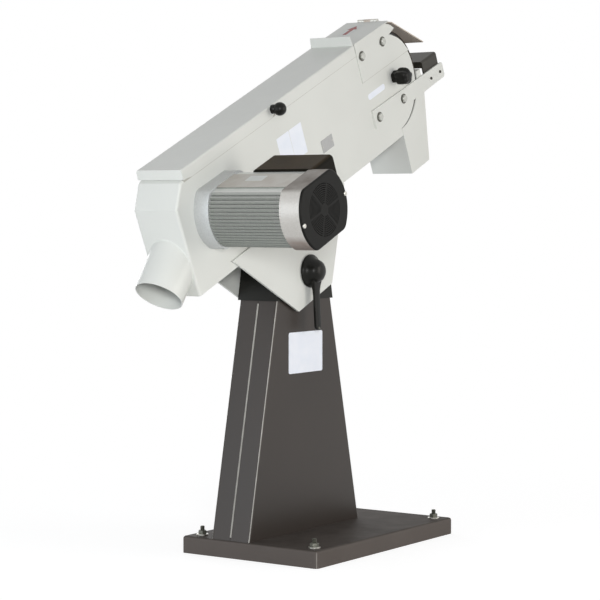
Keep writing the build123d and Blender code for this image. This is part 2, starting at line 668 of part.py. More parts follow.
def cheeks():
    """Yoke cheeks: lapped on the side plates and reaching down to the tilt pivot."""
    top = FLOOR_W + CHEEK_LAP
    foot = PIVOT_W - CHEEK_FOOT_DROP
    heel_back = (CHEEK_BACK_U + CHEEK_LAP, FLOOR_W - 1)
    heel_front = (CHEEK_FRONT_U, FLOOR_W)
    face = shape((CHEEK_BACK_U, top), heel_back, (PIVOT_U - CHEEK_FOOT_BACK, foot),
                 (PIVOT_U + CHEEK_FOOT_FRONT, foot), heel_front, (CHEEK_FRONT_U - CHEEK_LAP_TRIM, top))
    feet = face.vertices().sort_by(Axis.Y)[:2]
    face = fillet(feet, CHEEK_FOOT_CORNER) - disc((PIVOT_U, PIVOT_W), PIVOT_RADIUS + RUN_FIT)
    keep("yoke_cheeks", *[on_side(face, SIDE_OUT, CHEEK_OUT, side) for side in SIDES], place=ARM)


def belt_loop(grow):
    wheel = disc(WHEEL_AXIS, BELT_IN_WHEEL + grow)
    drum = disc(DRIVE_AXIS, BELT_IN_DRUM + grow)
    return make_hull(wheel.edges() + drum.edges())


def belt():
    loop = belt_loop(BELT_THICKNESS) - belt_loop(0)
    keep("sanding_belt", prism(loop, -BELT_WIDTH / 2, BELT_WIDTH / 2), place=ARM)


def platen():
    back = PLATEN_BACK_U
    front = WHEEL_U - WHEEL_RADIUS - TENSION_TRAVEL - PLATEN_FRONT_GAP
    heights = (-PLATEN_GAP, -PLATEN_GAP - PLATEN_PAD, -PLATEN_GAP - PLATEN_PAD - PLATEN_PLATE)
    lines = [((back, run_w(back, height)), (front, run_w(front, height))) for height in heights]
    pad = shape(*lines[0], *reversed(lines[1]))
    plate = shape(*lines[1], *reversed(lines[2]))
    keep("platen", prism(plate, -ARM_HALF, ARM_HALF), place=ARM)
    keep("platen_pad", prism(pad, -PLATEN_PAD_WIDTH / 2, PLATEN_PAD_WIDTH / 2), place=ARM)


def axle_guides():
    """A C-shaped guide on each side plate, in the wheel's dished side, for the sliding axle block."""
    back = WHEEL_U - BLOCK_LENGTH / 2 - SPRING_ROOM
    front = WHEEL_U + BLOCK_LENGTH / 2
    half = BLOCK_HEIGHT / 2 + FACE_GAP
    face = shape((back - GUIDE_WALL, WHEEL_W - half - GUIDE_WALL), (front, WHEEL_W - half - GUIDE_WALL),
                 (front, WHEEL_W - half), (back, WHEEL_W - half), (back, WHEEL_W + half),
                 (front, WHEEL_W + half), (front, WHEEL_W + half + GUIDE_WALL),
                 (back - GUIDE_WALL, WHEEL_W + half + GUIDE_WALL))
    keep("axle_guides", *[on_side(face, GUIDE_IN, ARM_HALF, side) for side in SIDES], place=ARM)
    middle = (GUIDE_IN + BLOCK_OUT) / 2
    pitch = (SPRING_ROOM - 2 * SPRING_WIRE) / SPRING_TURNS
    coil = Helix(pitch, pitch * SPRING_TURNS, SPRING_RADIUS)
    wire = sweep(Plane(coil @ 0, z_dir=coil % 0) * Circle(SPRING_WIRE), coil)
    lie = Location((0, 0, 0), (0, 90, 0))
    seats = [Location((back + SPRING_WIRE, side * middle, WHEEL_W)) for side in SIDES]
    keep("tension_springs", *[seat * lie * wire for seat in seats], place=ARM)


def axle_blocks():
    face = Pos(*WHEEL_AXIS) * Rectangle(BLOCK_LENGTH, BLOCK_HEIGHT)
    far = face - disc(WHEEL_AXIS, AXLE_RADIUS + SWIVEL_FIT)
    near = face - disc(WHEEL_AXIS, AXLE_RADIUS + SEAT_FIT)
    keep("axle_block_far", on_side(far, GUIDE_IN, BLOCK_OUT, 1), place=ARM)
    keep("axle_block_near", on_side(near, GUIDE_IN, BLOCK_OUT, -1), place=ARM)
    keep("wheel_axle", rod(WHEEL_AXIS, AXLE_RADIUS, -BLOCK_OUT, BLOCK_OUT), place=ARM)
    start = BEARING_SPREAD / 2 + BEARING_WIDTH / 2 + FACE_GAP
    sleeve = disc(WHEEL_AXIS, AXLE_SPACER_RADIUS) - disc(WHEEL_AXIS, AXLE_RADIUS + SEAT_FIT)
    spacers = [on_side(sleeve, start, GUIDE_IN - FACE_GAP, side) for side in SIDES]
    keep("axle_spacers", *spacers, place=ARM)


def contact_wheel():
    half = WHEEL_WIDTH / 2
    rim_out = WHEEL_RADIUS - TYRE_DEPTH
    rim_in = rim_out - RIM_DEPTH
    hub_half = WHEEL_HUB_WIDTH / 2
    hub = rod(WHEEL_AXIS, rim_out, -WEB_THICKNESS / 2, WEB_THICKNESS / 2)
    hub += rod(WHEEL_AXIS, WHEEL_HUB_RADIUS, -hub_half, hub_half)
    hub += pipe(WHEEL_AXIS, rim_out, rim_in, -half, half)
    hub -= rod(WHEEL_AXIS, BEARING_RADIUS + SEAT_FIT, -half, half)
    for step in range(WHEEL_HOLES):
        at = polar(WHEEL_AXIS, (WHEEL_HUB_RADIUS + rim_in) / 2, 360 * step / WHEEL_HOLES)
        hub -= rod(at, WHEEL_HOLE_RADIUS, -half, half)
    keep("contact_wheel_hub", hub, place=ARM)
    keep("contact_wheel_tyre", pipe(WHEEL_AXIS, WHEEL_RADIUS, rim_out, -half, half), place=ARM)
    rings = []
    for side in SIDES:
        middle = side * BEARING_SPREAD / 2
        rings.append(pipe(WHEEL_AXIS, BEARING_RADIUS, AXLE_RADIUS + RUN_FIT,
                          middle - BEARING_WIDTH / 2, middle + BEARING_WIDTH / 2))
    keep("wheel_bearings", *rings, place=ARM)


def tracking_knob():
    """A lobed knob outside the near plate; its cam inside sets the near end of the wheel axle."""
    at = (CAM_U, TRACK_KNOB_W)
    cam_at = (CAM_U, TRACK_KNOB_W + CAM_OFFSET)
    hub_start = -SIDE_OUT - FACE_GAP
    knob_start = hub_start - TRACK_HUB
    knob_end = knob_start - TRACK_KNOB_HEIGHT
    ring = disc(at, TRACK_KNOB_RADIUS - TRACK_KNOB_LOBE_RADIUS / 2)
    for step in range(TRACK_KNOB_LOBES):
        lobe = polar(at, TRACK_KNOB_RADIUS - TRACK_KNOB_LOBE_RADIUS,
                     TRACK_KNOB_TURN + 360 * step / TRACK_KNOB_LOBES)
        ring += disc(lobe, TRACK_KNOB_LOBE_RADIUS)
    grip = prism(ring, knob_end, knob_start)
    grip += rod(at, TRACK_HUB_RADIUS, knob_start, hub_start)
    grip -= rod(at, TRACK_SHAFT_RADIUS + SEAT_FIT, knob_start - TRACK_HUB / 2, 0)
    keep("tracking_knob", grip, place=ARM)
    shaft = rod(at, TRACK_SHAFT_RADIUS, knob_start - TRACK_HUB / 2, -ARM_HALF + FACE_GAP)
    shaft += rod(cam_at, CAM_RADIUS, -ARM_HALF + FACE_GAP, -ARM_HALF + FACE_GAP + CAM_LENGTH)
    keep("tracking_cam_shaft", shaft, place=ARM)


def cover_hinge_axis(u):
    """Height of the cover's hinge axis at u in the arm frame."""
    return cover_w(u, COVER_FLANGE - COVER_HINGE_RISE)


def cover_folds(body, half):
    """The two long top edges of the cover, or of the room inside it."""
    edges = [edge for edge in body.edges() if abs(abs(edge.center().Y) - half) < 0.01]
    return [edge for edge in edges if edge.center().Z > cover_w(edge.center().X, COVER_FLANGE / 4)]


def top_cover():
    """A shallow folded lid over the belt: two side flanges, a flared tail lip, an upturned front lip."""
    foot_u = COVER_BACK_U - COVER_TAIL_FLARE
    heel_u = foot_u + COVER_TAIL_HEEL
    tail = [(foot_u, cover_w(foot_u, COVER_TAIL_DROP)), (COVER_BACK_U, cover_w(COVER_BACK_U))]
    front_top = (COVER_FRONT_U, cover_w(COVER_FRONT_U))
    flange = [(COVER_FRONT_U, cover_w(COVER_FRONT_U, COVER_FLANGE)), (heel_u, cover_w(heel_u, COVER_FLANGE))]
    lid = prism(shape(*tail, front_top, *flange), -COVER_OUT, COVER_OUT)
    lid = fillet(cover_folds(lid, COVER_OUT), COVER_BEND)
    foot, ridge, _ = inset([*tail, front_top], COVER_SHEET)
    beyond = 2 * COVER_FLANGE
    low = foot[1] - beyond
    low_u = foot[0] - (ridge[0] - foot[0]) * beyond / (ridge[1] - foot[1])
    front_u = COVER_FRONT_U + beyond
    room = shape((low_u, low), ridge, (front_u, cover_w(front_u, COVER_SHEET)), (front_u, low))
    room = prism(room, -COVER_IN, COVER_IN)
    lid -= fillet(cover_folds(room, COVER_IN), COVER_BEND - COVER_SHEET)
    lip_low = COVER_OUT - COVER_LIP_INSET
    lip_high = COVER_OUT - COVER_BEND
    lip_foot = front_top[1] - COVER_SHEET
    lip_top = front_top[1] + COVER_LIP
    lip = shape((-lip_low, lip_foot), (lip_low, lip_foot), (lip_high, lip_top), (-lip_high, lip_top))
    lip = Pos(COVER_FRONT_U - COVER_LIP_SHEET, 0, 0) * extrude(Plane.YZ * lip, COVER_LIP_SHEET)
    at = cover_knob_place()
    half = COVER_SLOT / 2
    slot = block(at[0] - half, at[0] + half, at[1] - COVER_FLANGE, at[1], -2 * COVER_OUT, 0)
    slot += rod(at, half, -2 * COVER_OUT, 0)
    keep("top_cover", lid + lip - slot, place=ARM)


def cover_hinges():
    """Two butt hinges outside the far plate, along the cover's flange."""
    axis_y = COVER_OUT + HINGE_LEAF + HINGE_BARREL_RADIUS - HINGE_LEAF / 2
    fixed, moving, pins = [], [], []
    third = COVER_HINGE_LENGTH / 3
    for middle in COVER_HINGE_US:
        frame = Location((middle, axis_y, cover_hinge_axis(middle)), (0, -COVER_SLOPE, 0))
        along = Location((0, 0, 0), (0, 90, 0))
        barrel = Cylinder(HINGE_BARREL_RADIUS, third - FACE_GAP)
        bore = Cylinder(HINGE_PIN_RADIUS + RUN_FIT, 2 * COVER_HINGE_LENGTH)
        fixed_y0 = SIDE_OUT - axis_y
        web_high = -COVER_HINGE_RISE - 1.5 * FACE_GAP
        web_low = web_high - HINGE_LEAF
        leaf = Pos(0, fixed_y0 + HINGE_LEAF / 2, web_high - COVER_LEAF_HEIGHT / 2)
        fixed_part = leaf * Box(COVER_HINGE_LENGTH, HINGE_LEAF, COVER_LEAF_HEIGHT)
        for step in (-1, 1):
            knuckle = Pos(step * third, 0, 0) * along * barrel
            web = Pos(step * third, fixed_y0 / 2, (web_low + web_high) / 2)
            knuckle += web * Box(third - FACE_GAP, -fixed_y0, HINGE_LEAF)
            fixed_part += knuckle
        fixed.append(frame * (fixed_part - along * bore))
        flange_y = COVER_OUT - axis_y
        plate_height = COVER_FLANGE - COVER_HINGE_RISE - COVER_BEND
        plate = Pos(0, flange_y + HINGE_LEAF / 2, plate_height / 2)
        leaf_moving = plate * Box(third - FACE_GAP, HINGE_LEAF, plate_height)
        moving.append(frame * (leaf_moving + along * barrel - along * bore))
        pins.append(frame * along * Cylinder(HINGE_PIN_RADIUS, COVER_HINGE_LENGTH))
    keep("cover_hinge_fixed_leaves", *fixed, *pins, place=ARM)
    keep("cover_hinge_moving_leaves", *moving, place=ARM)


def cover_knob():
    at = cover_knob_place()
    start = -COVER_OUT - FACE_GAP
    collar_end = start - COVER_KNOB_COLLAR
    knob = rod(at, COVER_KNOB_STUD_RADIUS, start, -ARM_HALF - FACE_GAP)
    knob += rod(at, COVER_KNOB_COLLAR_RADIUS, collar_end, start)
    knob += rod(at, COVER_KNOB_COLLAR_RADIUS * 0.75, collar_end - COVER_KNOB_NECK, collar_end)
    ball = Pos(at[0], collar_end - COVER_KNOB_NECK, at[1]) * Sphere(COVER_KNOB_RADIUS)
    keep("cover_knob", knob + ball, place=ARM)


def hood():
    """A bent sheet over the wheel: a flat top, and side flanges that round off at the front."""
    back = (HOOD_BACK_U, HOOD_W)
    turn = (WHEEL_U + HOOD_FLAT_FRONT, HOOD_W)
    tip = (WHEEL_U + HOOD_TIP_FRONT, HOOD_W - HOOD_TIP_DROP)
    nose_top = polar(WHEEL_AXIS, NOSE_RADIUS, HOOD_TIP_ANGLE)
    low_angle = degrees(asin(HOOD_FLANGE_LOW / NOSE_RADIUS))
    nose_middle = polar(WHEEL_AXIS, NOSE_RADIUS, (HOOD_TIP_ANGLE + low_angle) / 2)
    nose_low = polar(WHEEL_AXIS, NOSE_RADIUS, low_angle)
    low_back = (HOOD_BACK_U, WHEEL_W + HOOD_FLANGE_LOW)
    flange = make_face([Line(back, turn), TangentArc(turn, tip, tangent=(1, 0)), Line(tip, nose_top),
                        ThreePointArc(nose_top, nose_middle, nose_low), Line(nose_low, low_back),
                        Line(low_back, back)])
    holes, _ = guard_bolt_places()
    for at in holes:
        flange -= Pos(*at) * SlotOverall(HOOD_SLOT_LENGTH, 2 * (GUARD_BOLT_RADIUS + SEAT_FIT))
    body = block(HOOD_BACK_U, WHEEL_U + HOOD_FRONT, HOOD_W - HOOD_SHEET, HOOD_W, -HOOD_OUT, HOOD_OUT)
    for side in SIDES:
        body += on_side(flange, SIDE_OUT, HOOD_OUT, side)
    folds = [edge for edge in body.edges()
             if abs(abs(edge.center().Y) - HOOD_OUT) < 0.01 and abs(edge.center().Z - HOOD_W) < 0.01]
    keep("upper_guard", fillet(folds, HOOD_BEND), place=ARM)


def spark_guard():
    """A swinging plate ahead of the hood, on a short hinge whose leaf lies under the hood's flat top."""
    front = WHEEL_U + HOOD_FRONT
    leaf_high = HOOD_W - HOOD_SHEET
    leaf_low = leaf_high - HINGE_LEAF
    at = (front + FACE_GAP + HINGE_BARREL_RADIUS, leaf_low + HINGE_BARREL_RADIUS)
    half = SPARK_HINGE_LENGTH / 2
    third = SPARK_HINGE_LENGTH / 3
    bore = rod(at, HINGE_PIN_RADIUS + RUN_FIT, -2 * half, 2 * half)
    leaf = block(front - SPARK_LEAF, front, leaf_low, leaf_high, -half, half)
    for step in (-1, 1):
        low = step * third - third / 2 + FACE_GAP / 2
        high = step * third + third / 2 - FACE_GAP / 2
        leaf += rod(at, HINGE_BARREL_RADIUS, low, high)
        leaf += block(front, at[0], leaf_low, leaf_high, low, high)
    keep("spark_hinge_leaf_and_pin", leaf - bore, rod(at, HINGE_PIN_RADIUS, -half, half), place=ARM)
    frame = Location((at[0], 0, at[1]), (0, SPARK_SLOPE, 0))
    wide = SPARK_WIDTH / 2
    shoulder = SPARK_ROOT_GAP + SPARK_SHOULDER
    outline = shape((SPARK_ROOT_GAP, -half), (shoulder, -wide), (SPARK_REACH, -wide), (SPARK_REACH, wide),
                    (shoulder, wide), (SPARK_ROOT_GAP, half))
    knuckle_half = third / 2 - FACE_GAP / 2
    outline += Pos(shoulder / 2, 0) * Rectangle(shoulder, 2 * knuckle_half)
    plate = frame * Pos(0, 0, -SPARK_PLATE / 2) * extrude(outline, SPARK_PLATE)
    plate += rod(at, HINGE_BARREL_RADIUS, -knuckle_half, knuckle_half)
    keep("spark_guard", plate - bore, place=ARM)


def bracket_outline():
    back = WHEEL_U - BRACKET_BACK
    front = WHEEL_U + BRACKET_FRONT
    face = shape((back, WHEEL_W - BRACKET_TOP), (front, WHEEL_W - BRACKET_TIP_TOP),
                 (front, WHEEL_W - BRACKET_TIP_LOW), (back, WHEEL_W - BRACKET_LOW))
    return fillet(face.vertices().sort_by(Axis.X)[-2:], BRACKET_CORNER)


def rest_screw_places():
    return [(WHEEL_U + along, WHEEL_W - REST_SCREW_DROP) for along in REST_SCREWS]


def brackets():
    _, bolts = guard_bolt_places()
    face = bracket_outline()
    for at in bolts:
        face -= disc(at, GUARD_BOLT_RADIUS + SEAT_FIT)
    for at in rest_screw_places():
        face -= disc(at, REST_SCREW_RADIUS + SEAT_FIT)
    keep("guard_brackets", *[on_side(face, SIDE_OUT, BRACKET_OUT, side) for side in SIDES], place=ARM)


def chute():
    """A white funnel below and ahead of the wheel, open at the top and at its mouth."""
    back = WHEEL_U + CHUTE_BACK
    mouth = WHEEL_W - CHUTE_DROP
    lip = (WHEEL_U + CHUTE_LIP_FRONT, WHEEL_W - CHUTE_LIP_DROP)
    knee = (WHEEL_U + CHUTE_KNEE_FRONT, WHEEL_W - CHUTE_KNEE_DROP)
    foot = (back + CHUTE_MOUTH, mouth)
    face = shape((back, mouth), foot, knee, lip, (back, lip[1]))
    face -= disc((WHEEL_U + CHUTE_SLIT_SHIFT, WHEEL_W), NOSE_RADIUS + CHUTE_SLIT)
    body = on_side(face, ARM_HALF, SIDE_OUT, -1) + on_side(face, ARM_HALF, SIDE_OUT, 1)
    front = strip([lip, knee, foot], CHUTE_SHEET)
    body += prism(front, -SIDE_OUT, SIDE_OUT)
    body += block(back, back + CHUTE_SHEET, mouth, FLOOR_W, -SIDE_OUT, SIDE_OUT)
    keep("spark_chute", body, place=ARM)


def guard_fasteners():
    hood_at, bracket_at = guard_bolt_places()
    bolts, washers = [], []
    for places, seat in ((hood_at, HOOD_OUT), (bracket_at, BRACKET_OUT)):
        for at in places:
            for side in SIDES:
                ring = disc(at, GUARD_WASHER_RADIUS) - disc(at, GUARD_BOLT_RADIUS + SEAT_FIT)
                washers.append(on_side(ring, seat, seat + GUARD_WASHER, side))
                head = Pos(*at) * RegularPolygon(GUARD_BOLT_HEAD_RADIUS, 6)
                under = seat + GUARD_WASHER
                bolt = on_side(head, under, under + GUARD_BOLT_HEAD, side)
                bolts.append(bolt + on_side(disc(at, GUARD_BOLT_RADIUS), ARM_HALF, under, side))
    keep("guard_bolts_and_washers", *bolts, *washers, place=ARM)


def work_rest():
    """A dark bent rest ahead of the wheel: a top leaf and two flanges screwed inside the brackets."""
    back = WHEEL_U + REST_BACK
    front = back + REST_LENGTH
    top = WHEEL_W - REST_DROP
    out = SIDE_OUT - FACE_GAP
    body = block(back, front, top - REST_HEIGHT, top, -out, out)
    bends = [edge for edge in body.edges()
             if abs(edge.center().Z - top) < 0.01 and abs(edge.tangent_at(0.5).X) > 0.9]
    body = fillet(bends, REST_BEND)
    inside = out - REST_SHEET
    under = top - REST_SHEET
    body -= block(back - 1, front + 1, top - 2 * REST_HEIGHT, under, -inside, inside)
    body += block(back, back + REST_SHEET, top - REST_LIP, under, -inside, inside)
    ear_top = WHEEL_W - BRACKET_TIP_TOP - BRACKET_CORNER
    low = top - REST_HEIGHT
    tip = front + REST_EAR
    ear = shape((front, low), (tip, low), (tip, ear_top), (front, ear_top))
    for side in SIDES:
        body += on_side(ear, inside, out, side)
    travel = REST_TRAVEL_IN + REST_TRAVEL_OUT
    for at in rest_screw_places():
        middle = (at[0] + (REST_TRAVEL_IN - REST_TRAVEL_OUT) / 2, at[1])
        width = 2 * (REST_SCREW_RADIUS + FACE_GAP)
        body -= prism(Pos(*middle) * SlotOverall(travel + width, width), -2 * out, 2 * out)
    keep("work_rest", body, place=ARM)
    screws, nuts = [], []
    inner = inside - FACE_GAP
    for at in rest_screw_places():
        for side in SIDES:
            head = disc(at, REST_SCREW_HEAD_RADIUS)
            shank = disc(at, REST_SCREW_RADIUS)
            screw = on_side(head, BRACKET_OUT, BRACKET_OUT + REST_SCREW_HEAD, side)
            screws.append(screw + on_side(shank, inner - REST_NUT, BRACKET_OUT, side))
            ring = Pos(*at) * RegularPolygon(REST_NUT_RADIUS, 6) - disc(at, REST_SCREW_RADIUS + SEAT_FIT)
            nuts.append(on_side(ring, inner - REST_NUT, inner, side))
    keep("rest_screws_and_nuts", *screws, *nuts, place=ARM)


def motor_outline(inward=0.0, corner=MOTOR_CORNER):
    radius = MOTOR_RADIUS - inward
    face = Circle(radius) & Rectangle(2 * radius, 2 * (MOTOR_FLAT - inward))
    return fillet(face.vertices(), corner - inward)


def fin_outline():
    """The finned body end-on: a round core with two flat plates, and level fins out to the envelope."""
    face = Circle(FIN_CORE_RADIUS)
    flat = MOTOR_FLAT - FIN_INSET
    tip = MOTOR_RADIUS - FIN_INSET
    face += Rectangle(2 * FIN_FLAT, 2 * flat)
    count = int(flat / FIN_STEP)
    for step in range(-count, count):
        w = (step + 0.5) * FIN_STEP
        face += Pos(0, w) * Rectangle(2 * sqrt(tip ** 2 - (abs(w) + FIN_THICKNESS / 2) ** 2), FIN_THICKNESS)
    return face & motor_outline(FIN_INSET, FIN_CORNER)


def motor_shells():
    bearing = MOTOR_BEARING_RADIUS + SEAT_FIT
    pass_radius = SHAFT_RADIUS + SHAFT_PASS
    front = prism(motor_outline(), MOTOR_FINS, MOTOR_FRONT)
    front -= rod(DRIVE_AXIS, pass_radius, MOTOR_FINS - 1, MOTOR_FRONT + 1)
    seat_front = MOTOR_FRONT - SHIELD_WALL
    front -= rod(DRIVE_AXIS, bearing, seat_front - MOTOR_BEARING_WIDTH, seat_front)
    front -= rod(DRIVE_AXIS, STATOR_RADIUS - SHIELD_WALL, MOTOR_FINS - 1, seat_front - MOTOR_BEARING_WIDTH)
    for at in flange_bolt_places():
        front -= rod(at, FLANGE_BOLT_RADIUS + SEAT_FIT, MOTOR_FRONT - FLANGE_BOLT_DEPTH, MOTOR_FRONT + 1)
    keep("motor_front_shield", front, place=ARM)
    body = prism(fin_outline(), MOTOR_REAR, MOTOR_FINS)
    body -= rod(DRIVE_AXIS, STATOR_RADIUS + SEAT_FIT, MOTOR_REAR - 1, MOTOR_FINS + 1)
    keep("motor_finned_body", body, place=ARM)
    rear = prism(motor_outline(), MOTOR_END, MOTOR_REAR)
    wall = MOTOR_REAR - MOTOR_BEARING_WIDTH - SHIELD_WALL
    rear -= rod(DRIVE_AXIS, pass_radius, MOTOR_END - 1, MOTOR_REAR + 1)
    rear -= rod(DRIVE_AXIS, bearing, MOTOR_REAR - MOTOR_BEARING_WIDTH, MOTOR_REAR + 1)
    rear -= rod(DRIVE_AXIS, FAN_RADIUS + FAN_ROOM, MOTOR_END - 1, wall)
    for step in SIDES:
        at = (step * FAN_SCREW_U, 0)
        rear -= rod(at, FAN_SCREW_RADIUS + SEAT_FIT, MOTOR_END - 1, MOTOR_END + FAN_SCREW_LENGTH)
    keep("motor_rear_shield", rear, place=ARM)
    middle = (MOTOR_FINS + MOTOR_REAR) / 2
    keep("stator_core", pipe(DRIVE_AXIS, STATOR_RADIUS, ROTOR_RADIUS + AIR_GAP, middle - STATOR_LENGTH / 2,
                             middle + STATOR_LENGTH / 2), place=ARM)
    ring = disc(DRIVE_AXIS, MOTOR_BEARING_RADIUS) - disc(DRIVE_AXIS, SHAFT_RADIUS + RUN_FIT)
    keep("motor_bearings", prism(ring, seat_front - MOTOR_BEARING_WIDTH, seat_front),
         prism(ring, MOTOR_REAR - MOTOR_BEARING_WIDTH, MOTOR_REAR), place=ARM)


def fan_cover():
    """A shallow black cap with ring-shaped vents, held by two screws."""
    end = MOTOR_END - FAN_COVER
    body = prism(motor_outline(), end, MOTOR_END)
    body = fillet(body.faces().sort_by(Axis.Y)[0].edges(), FAN_COVER_ROUND)
    body -= rod(DRIVE_AXIS, FAN_RADIUS + FAN_ROOM, end + COVER_FACE, MOTOR_END + 1)
    vents = Sketch()
    for ring in range(VENT_RINGS):
        inner = VENT_INNER + ring * VENT_PITCH
        vents += Circle(inner + VENT_SLOT) - Circle(inner)
    reach = VENT_INNER + VENT_RINGS * VENT_PITCH
    for angle in (0, 60, 120):
        vents -= Rot(0, 0, angle) * Rectangle(3 * reach, VENT_SPOKE)
    body -= prism(vents, end - 1, end + 2 * COVER_FACE)
    screws = []
    for step in SIDES:
        at = (step * FAN_SCREW_U, 0)
        body -= rod(at, FAN_SCREW_RADIUS + SEAT_FIT, end - 1, MOTOR_END + 1)
        head = rod(at, FAN_SCREW_HEAD_RADIUS, end - FAN_SCREW_HEAD, end)
        head = fillet(head.faces().sort_by(Axis.Y)[0].edges(), FAN_SCREW_HEAD * 0.6)
        screws.append(head + rod(at, FAN_SCREW_RADIUS, end, MOTOR_END + FAN_SCREW_LENGTH - 1))
    keep("fan_cover", body, place=ARM)
    return screws


def motor_bolts():
    """The fan cover's screws and the bolts that hold the motor's flange to the side plate."""
    bolts = fan_cover()
    for at in flange_bolt_places():
        bolt = rod(at, FLANGE_BOLT_RADIUS, MOTOR_FRONT - FLANGE_BOLT_DEPTH + 1, -ARM_HALF)
        bolts.append(bolt + rod(at, FLANGE_BOLT_HEAD_RADIUS, -ARM_HALF, -ARM_HALF + FLANGE_BOLT_HEAD))
    keep("motor_bolts", *bolts, place=ARM)


def rotor():
    fan_back = MOTOR_END + COVER_FACE
    shaft_end = DRUM_HUB_WIDTH / 2
    keep("motor_shaft", rod(DRIVE_AXIS, SHAFT_RADIUS, fan_back, shaft_end), place=ARM)
    middle = (MOTOR_FINS + MOTOR_REAR) / 2
    bore = SHAFT_RADIUS + SEAT_FIT
    keep("rotor_core", pipe(DRIVE_AXIS, ROTOR_RADIUS, bore, middle - STATOR_LENGTH / 2,
                            middle + STATOR_LENGTH / 2), place=ARM)
    fan = pipe(DRIVE_AXIS, FAN_HUB_RADIUS, bore, fan_back, fan_back + FAN_DEPTH)
    blade = Rectangle(FAN_RADIUS - FAN_HUB_RADIUS + 2, FAN_BLADE)
    blade = Pos((bore + FAN_RADIUS) / 2 + SHAFT_RADIUS / 4, 0) * blade
    for step in range(FAN_BLADES):
        fan += prism(Rot(0, 0, 360 * step / FAN_BLADES) * blade, fan_back, fan_back + FAN_DEPTH)
    keep("cooling_fan", fan, place=ARM)
    half = WHEEL_WIDTH / 2
    rim_in = DRUM_RADIUS - DRUM_RIM
    drum = pipe(DRIVE_AXIS, DRUM_RADIUS, rim_in, -half, half)
    drum += rod(DRIVE_AXIS, rim_in + 1, -WEB_THICKNESS / 2, WEB_THICKNESS / 2)
    drum += rod(DRIVE_AXIS, DRUM_HUB_RADIUS, -DRUM_HUB_WIDTH / 2, DRUM_HUB_WIDTH / 2)
    drum -= rod(DRIVE_AXIS, bore, -half, half)
    keep("drive_drum", drum, place=ARM)
    washer = rod(DRIVE_AXIS, DRUM_HUB_RADIUS * 0.8, shaft_end, shaft_end + GUARD_WASHER)
    screw = hexagon(DRIVE_AXIS, GUARD_BOLT_HEAD_RADIUS, shaft_end + GUARD_WASHER,
                    shaft_end + GUARD_WASHER + GUARD_BOLT_HEAD)
    keep("drum_end_screw", washer + screw, place=ARM)


def switch_box():
    """A black box on the motor's front flank, with its lid and two push buttons facing the operator."""
    low_u = BOX_BACK_U
    high_u = BOX_FRONT_U - BOX_LID
    body = block(low_u, high_u, BOX_LOW_W, BOX_TOP_W, BOX_FAR, BOX_NEAR)
    sides = body.edges().filter_by(Axis.X)
    body = fillet(sides, BOX_CORNER)
    body -= prism(motor_outline(FIN_INSET - SEAT_FIT, FIN_CORNER), BOX_FAR - 1, BOX_NEAR + 1)
    body -= prism(motor_outline(-SEAT_FIT), BOX_FAR - 1, MOTOR_REAR + SEAT_FIT)
    room = block(BOX_CAVITY_BACK_U, BOX_FRONT_U, BOX_LOW_W + BOX_WALL, BOX_TOP_W - BOX_WALL,
                 BOX_FAR + BOX_WALL, BOX_NEAR - BOX_WALL)
    middle_y = (BOX_NEAR + BOX_FAR) / 2
    middle_w = (BOX_TOP_W + BOX_LOW_W) / 2
    gland_u = (BOX_CAVITY_BACK_U + high_u) / 2
    thread = Pos(gland_u, middle_y, BOX_LOW_W) * Cylinder(GLAND_RADIUS + SEAT_FIT, 4 * BOX_WALL)
    keep("switch_box", body - room - thread, place=ARM)
    lid = block(high_u, BOX_FRONT_U, BOX_LOW_W, BOX_TOP_W, BOX_FAR, BOX_NEAR)
    lid = fillet(lid.edges().filter_by(Axis.X), BOX_CORNER)
    low = (Align.CENTER, Align.CENTER, Align.MIN)
    face = Location((BOX_FRONT_U, middle_y, middle_w), (0, 90, 0))
    for name, step in (("start_button", -1), ("stop_button", 1)):
        spot = face * Pos(0, step * BUTTON_SPREAD / 2, 0)
        lid -= spot * Cylinder(BUTTON_RADIUS + RUN_FIT, 4 * BOX_LID)
        stem = Cylinder(BUTTON_RADIUS, BOX_LID + FACE_GAP + BUTTON_STANDOUT, align=low)
        stem = fillet(stem.edges().sort_by(Axis.Z)[-1], BUTTON_RADIUS / 6)
        flange = Cylinder(BUTTON_FLANGE_RADIUS, BUTTON_FLANGE, align=low)
        button = Pos(0, 0, -BOX_LID - FACE_GAP) * stem
        button += Pos(0, 0, -BOX_LID - FACE_GAP - BUTTON_FLANGE) * flange
        keep(name, spot * button, place=ARM)
    keep("switch_box_lid", lid, place=ARM)
    hexes = extrude(RegularPolygon(GLAND_HEX_RADIUS, 6), GLAND_LENGTH / 2)
    gland = hexes + Pos(0, 0, GLAND_LENGTH / 2) * Cylinder(GLAND_RADIUS, GLAND_LENGTH / 2, align=low)
    gland += Pos(0, 0, -BOX_WALL) * Cylinder(GLAND_RADIUS, BOX_WALL, align=low)
    gland -= Cylinder(GLAND_BORE, 4 * GLAND_LENGTH)
    keep("cable_gland", Location((gland_u, middle_y, BOX_LOW_W), (180, 0, 0)) * gland, place=ARM)


for make in (base, column, cap, pivot, clamp, arm_sides, tail, cheeks, belt, platen, axle_guides,
             axle_blocks, contact_wheel, tracking_knob, top_cover, cover_hinges, cover_knob, hood,
             spark_guard, brackets, chute, guard_fasteners, work_rest, motor_shells, motor_bolts, rotor,
             switch_box):
    make()

for name, solids in NODES.items():
    pieces = [solid for piece in solids for solid in piece.solids()]
    export_step(Compound(children=pieces) if len(pieces) > 1 else pieces[0], f"parts/{name}.step")

print(len(NODES), "nodes")
belt_length = belt_loop(BELT_THICKNESS / 2).face().outer_wire().length
print("run angle", round(RUN_ANGLE, 4), "belt", round(belt_length, 1))
print("drive axis", ARM.position, "wheel axis", (ARM * Location((WHEEL_U, 0, WHEEL_W))).position)
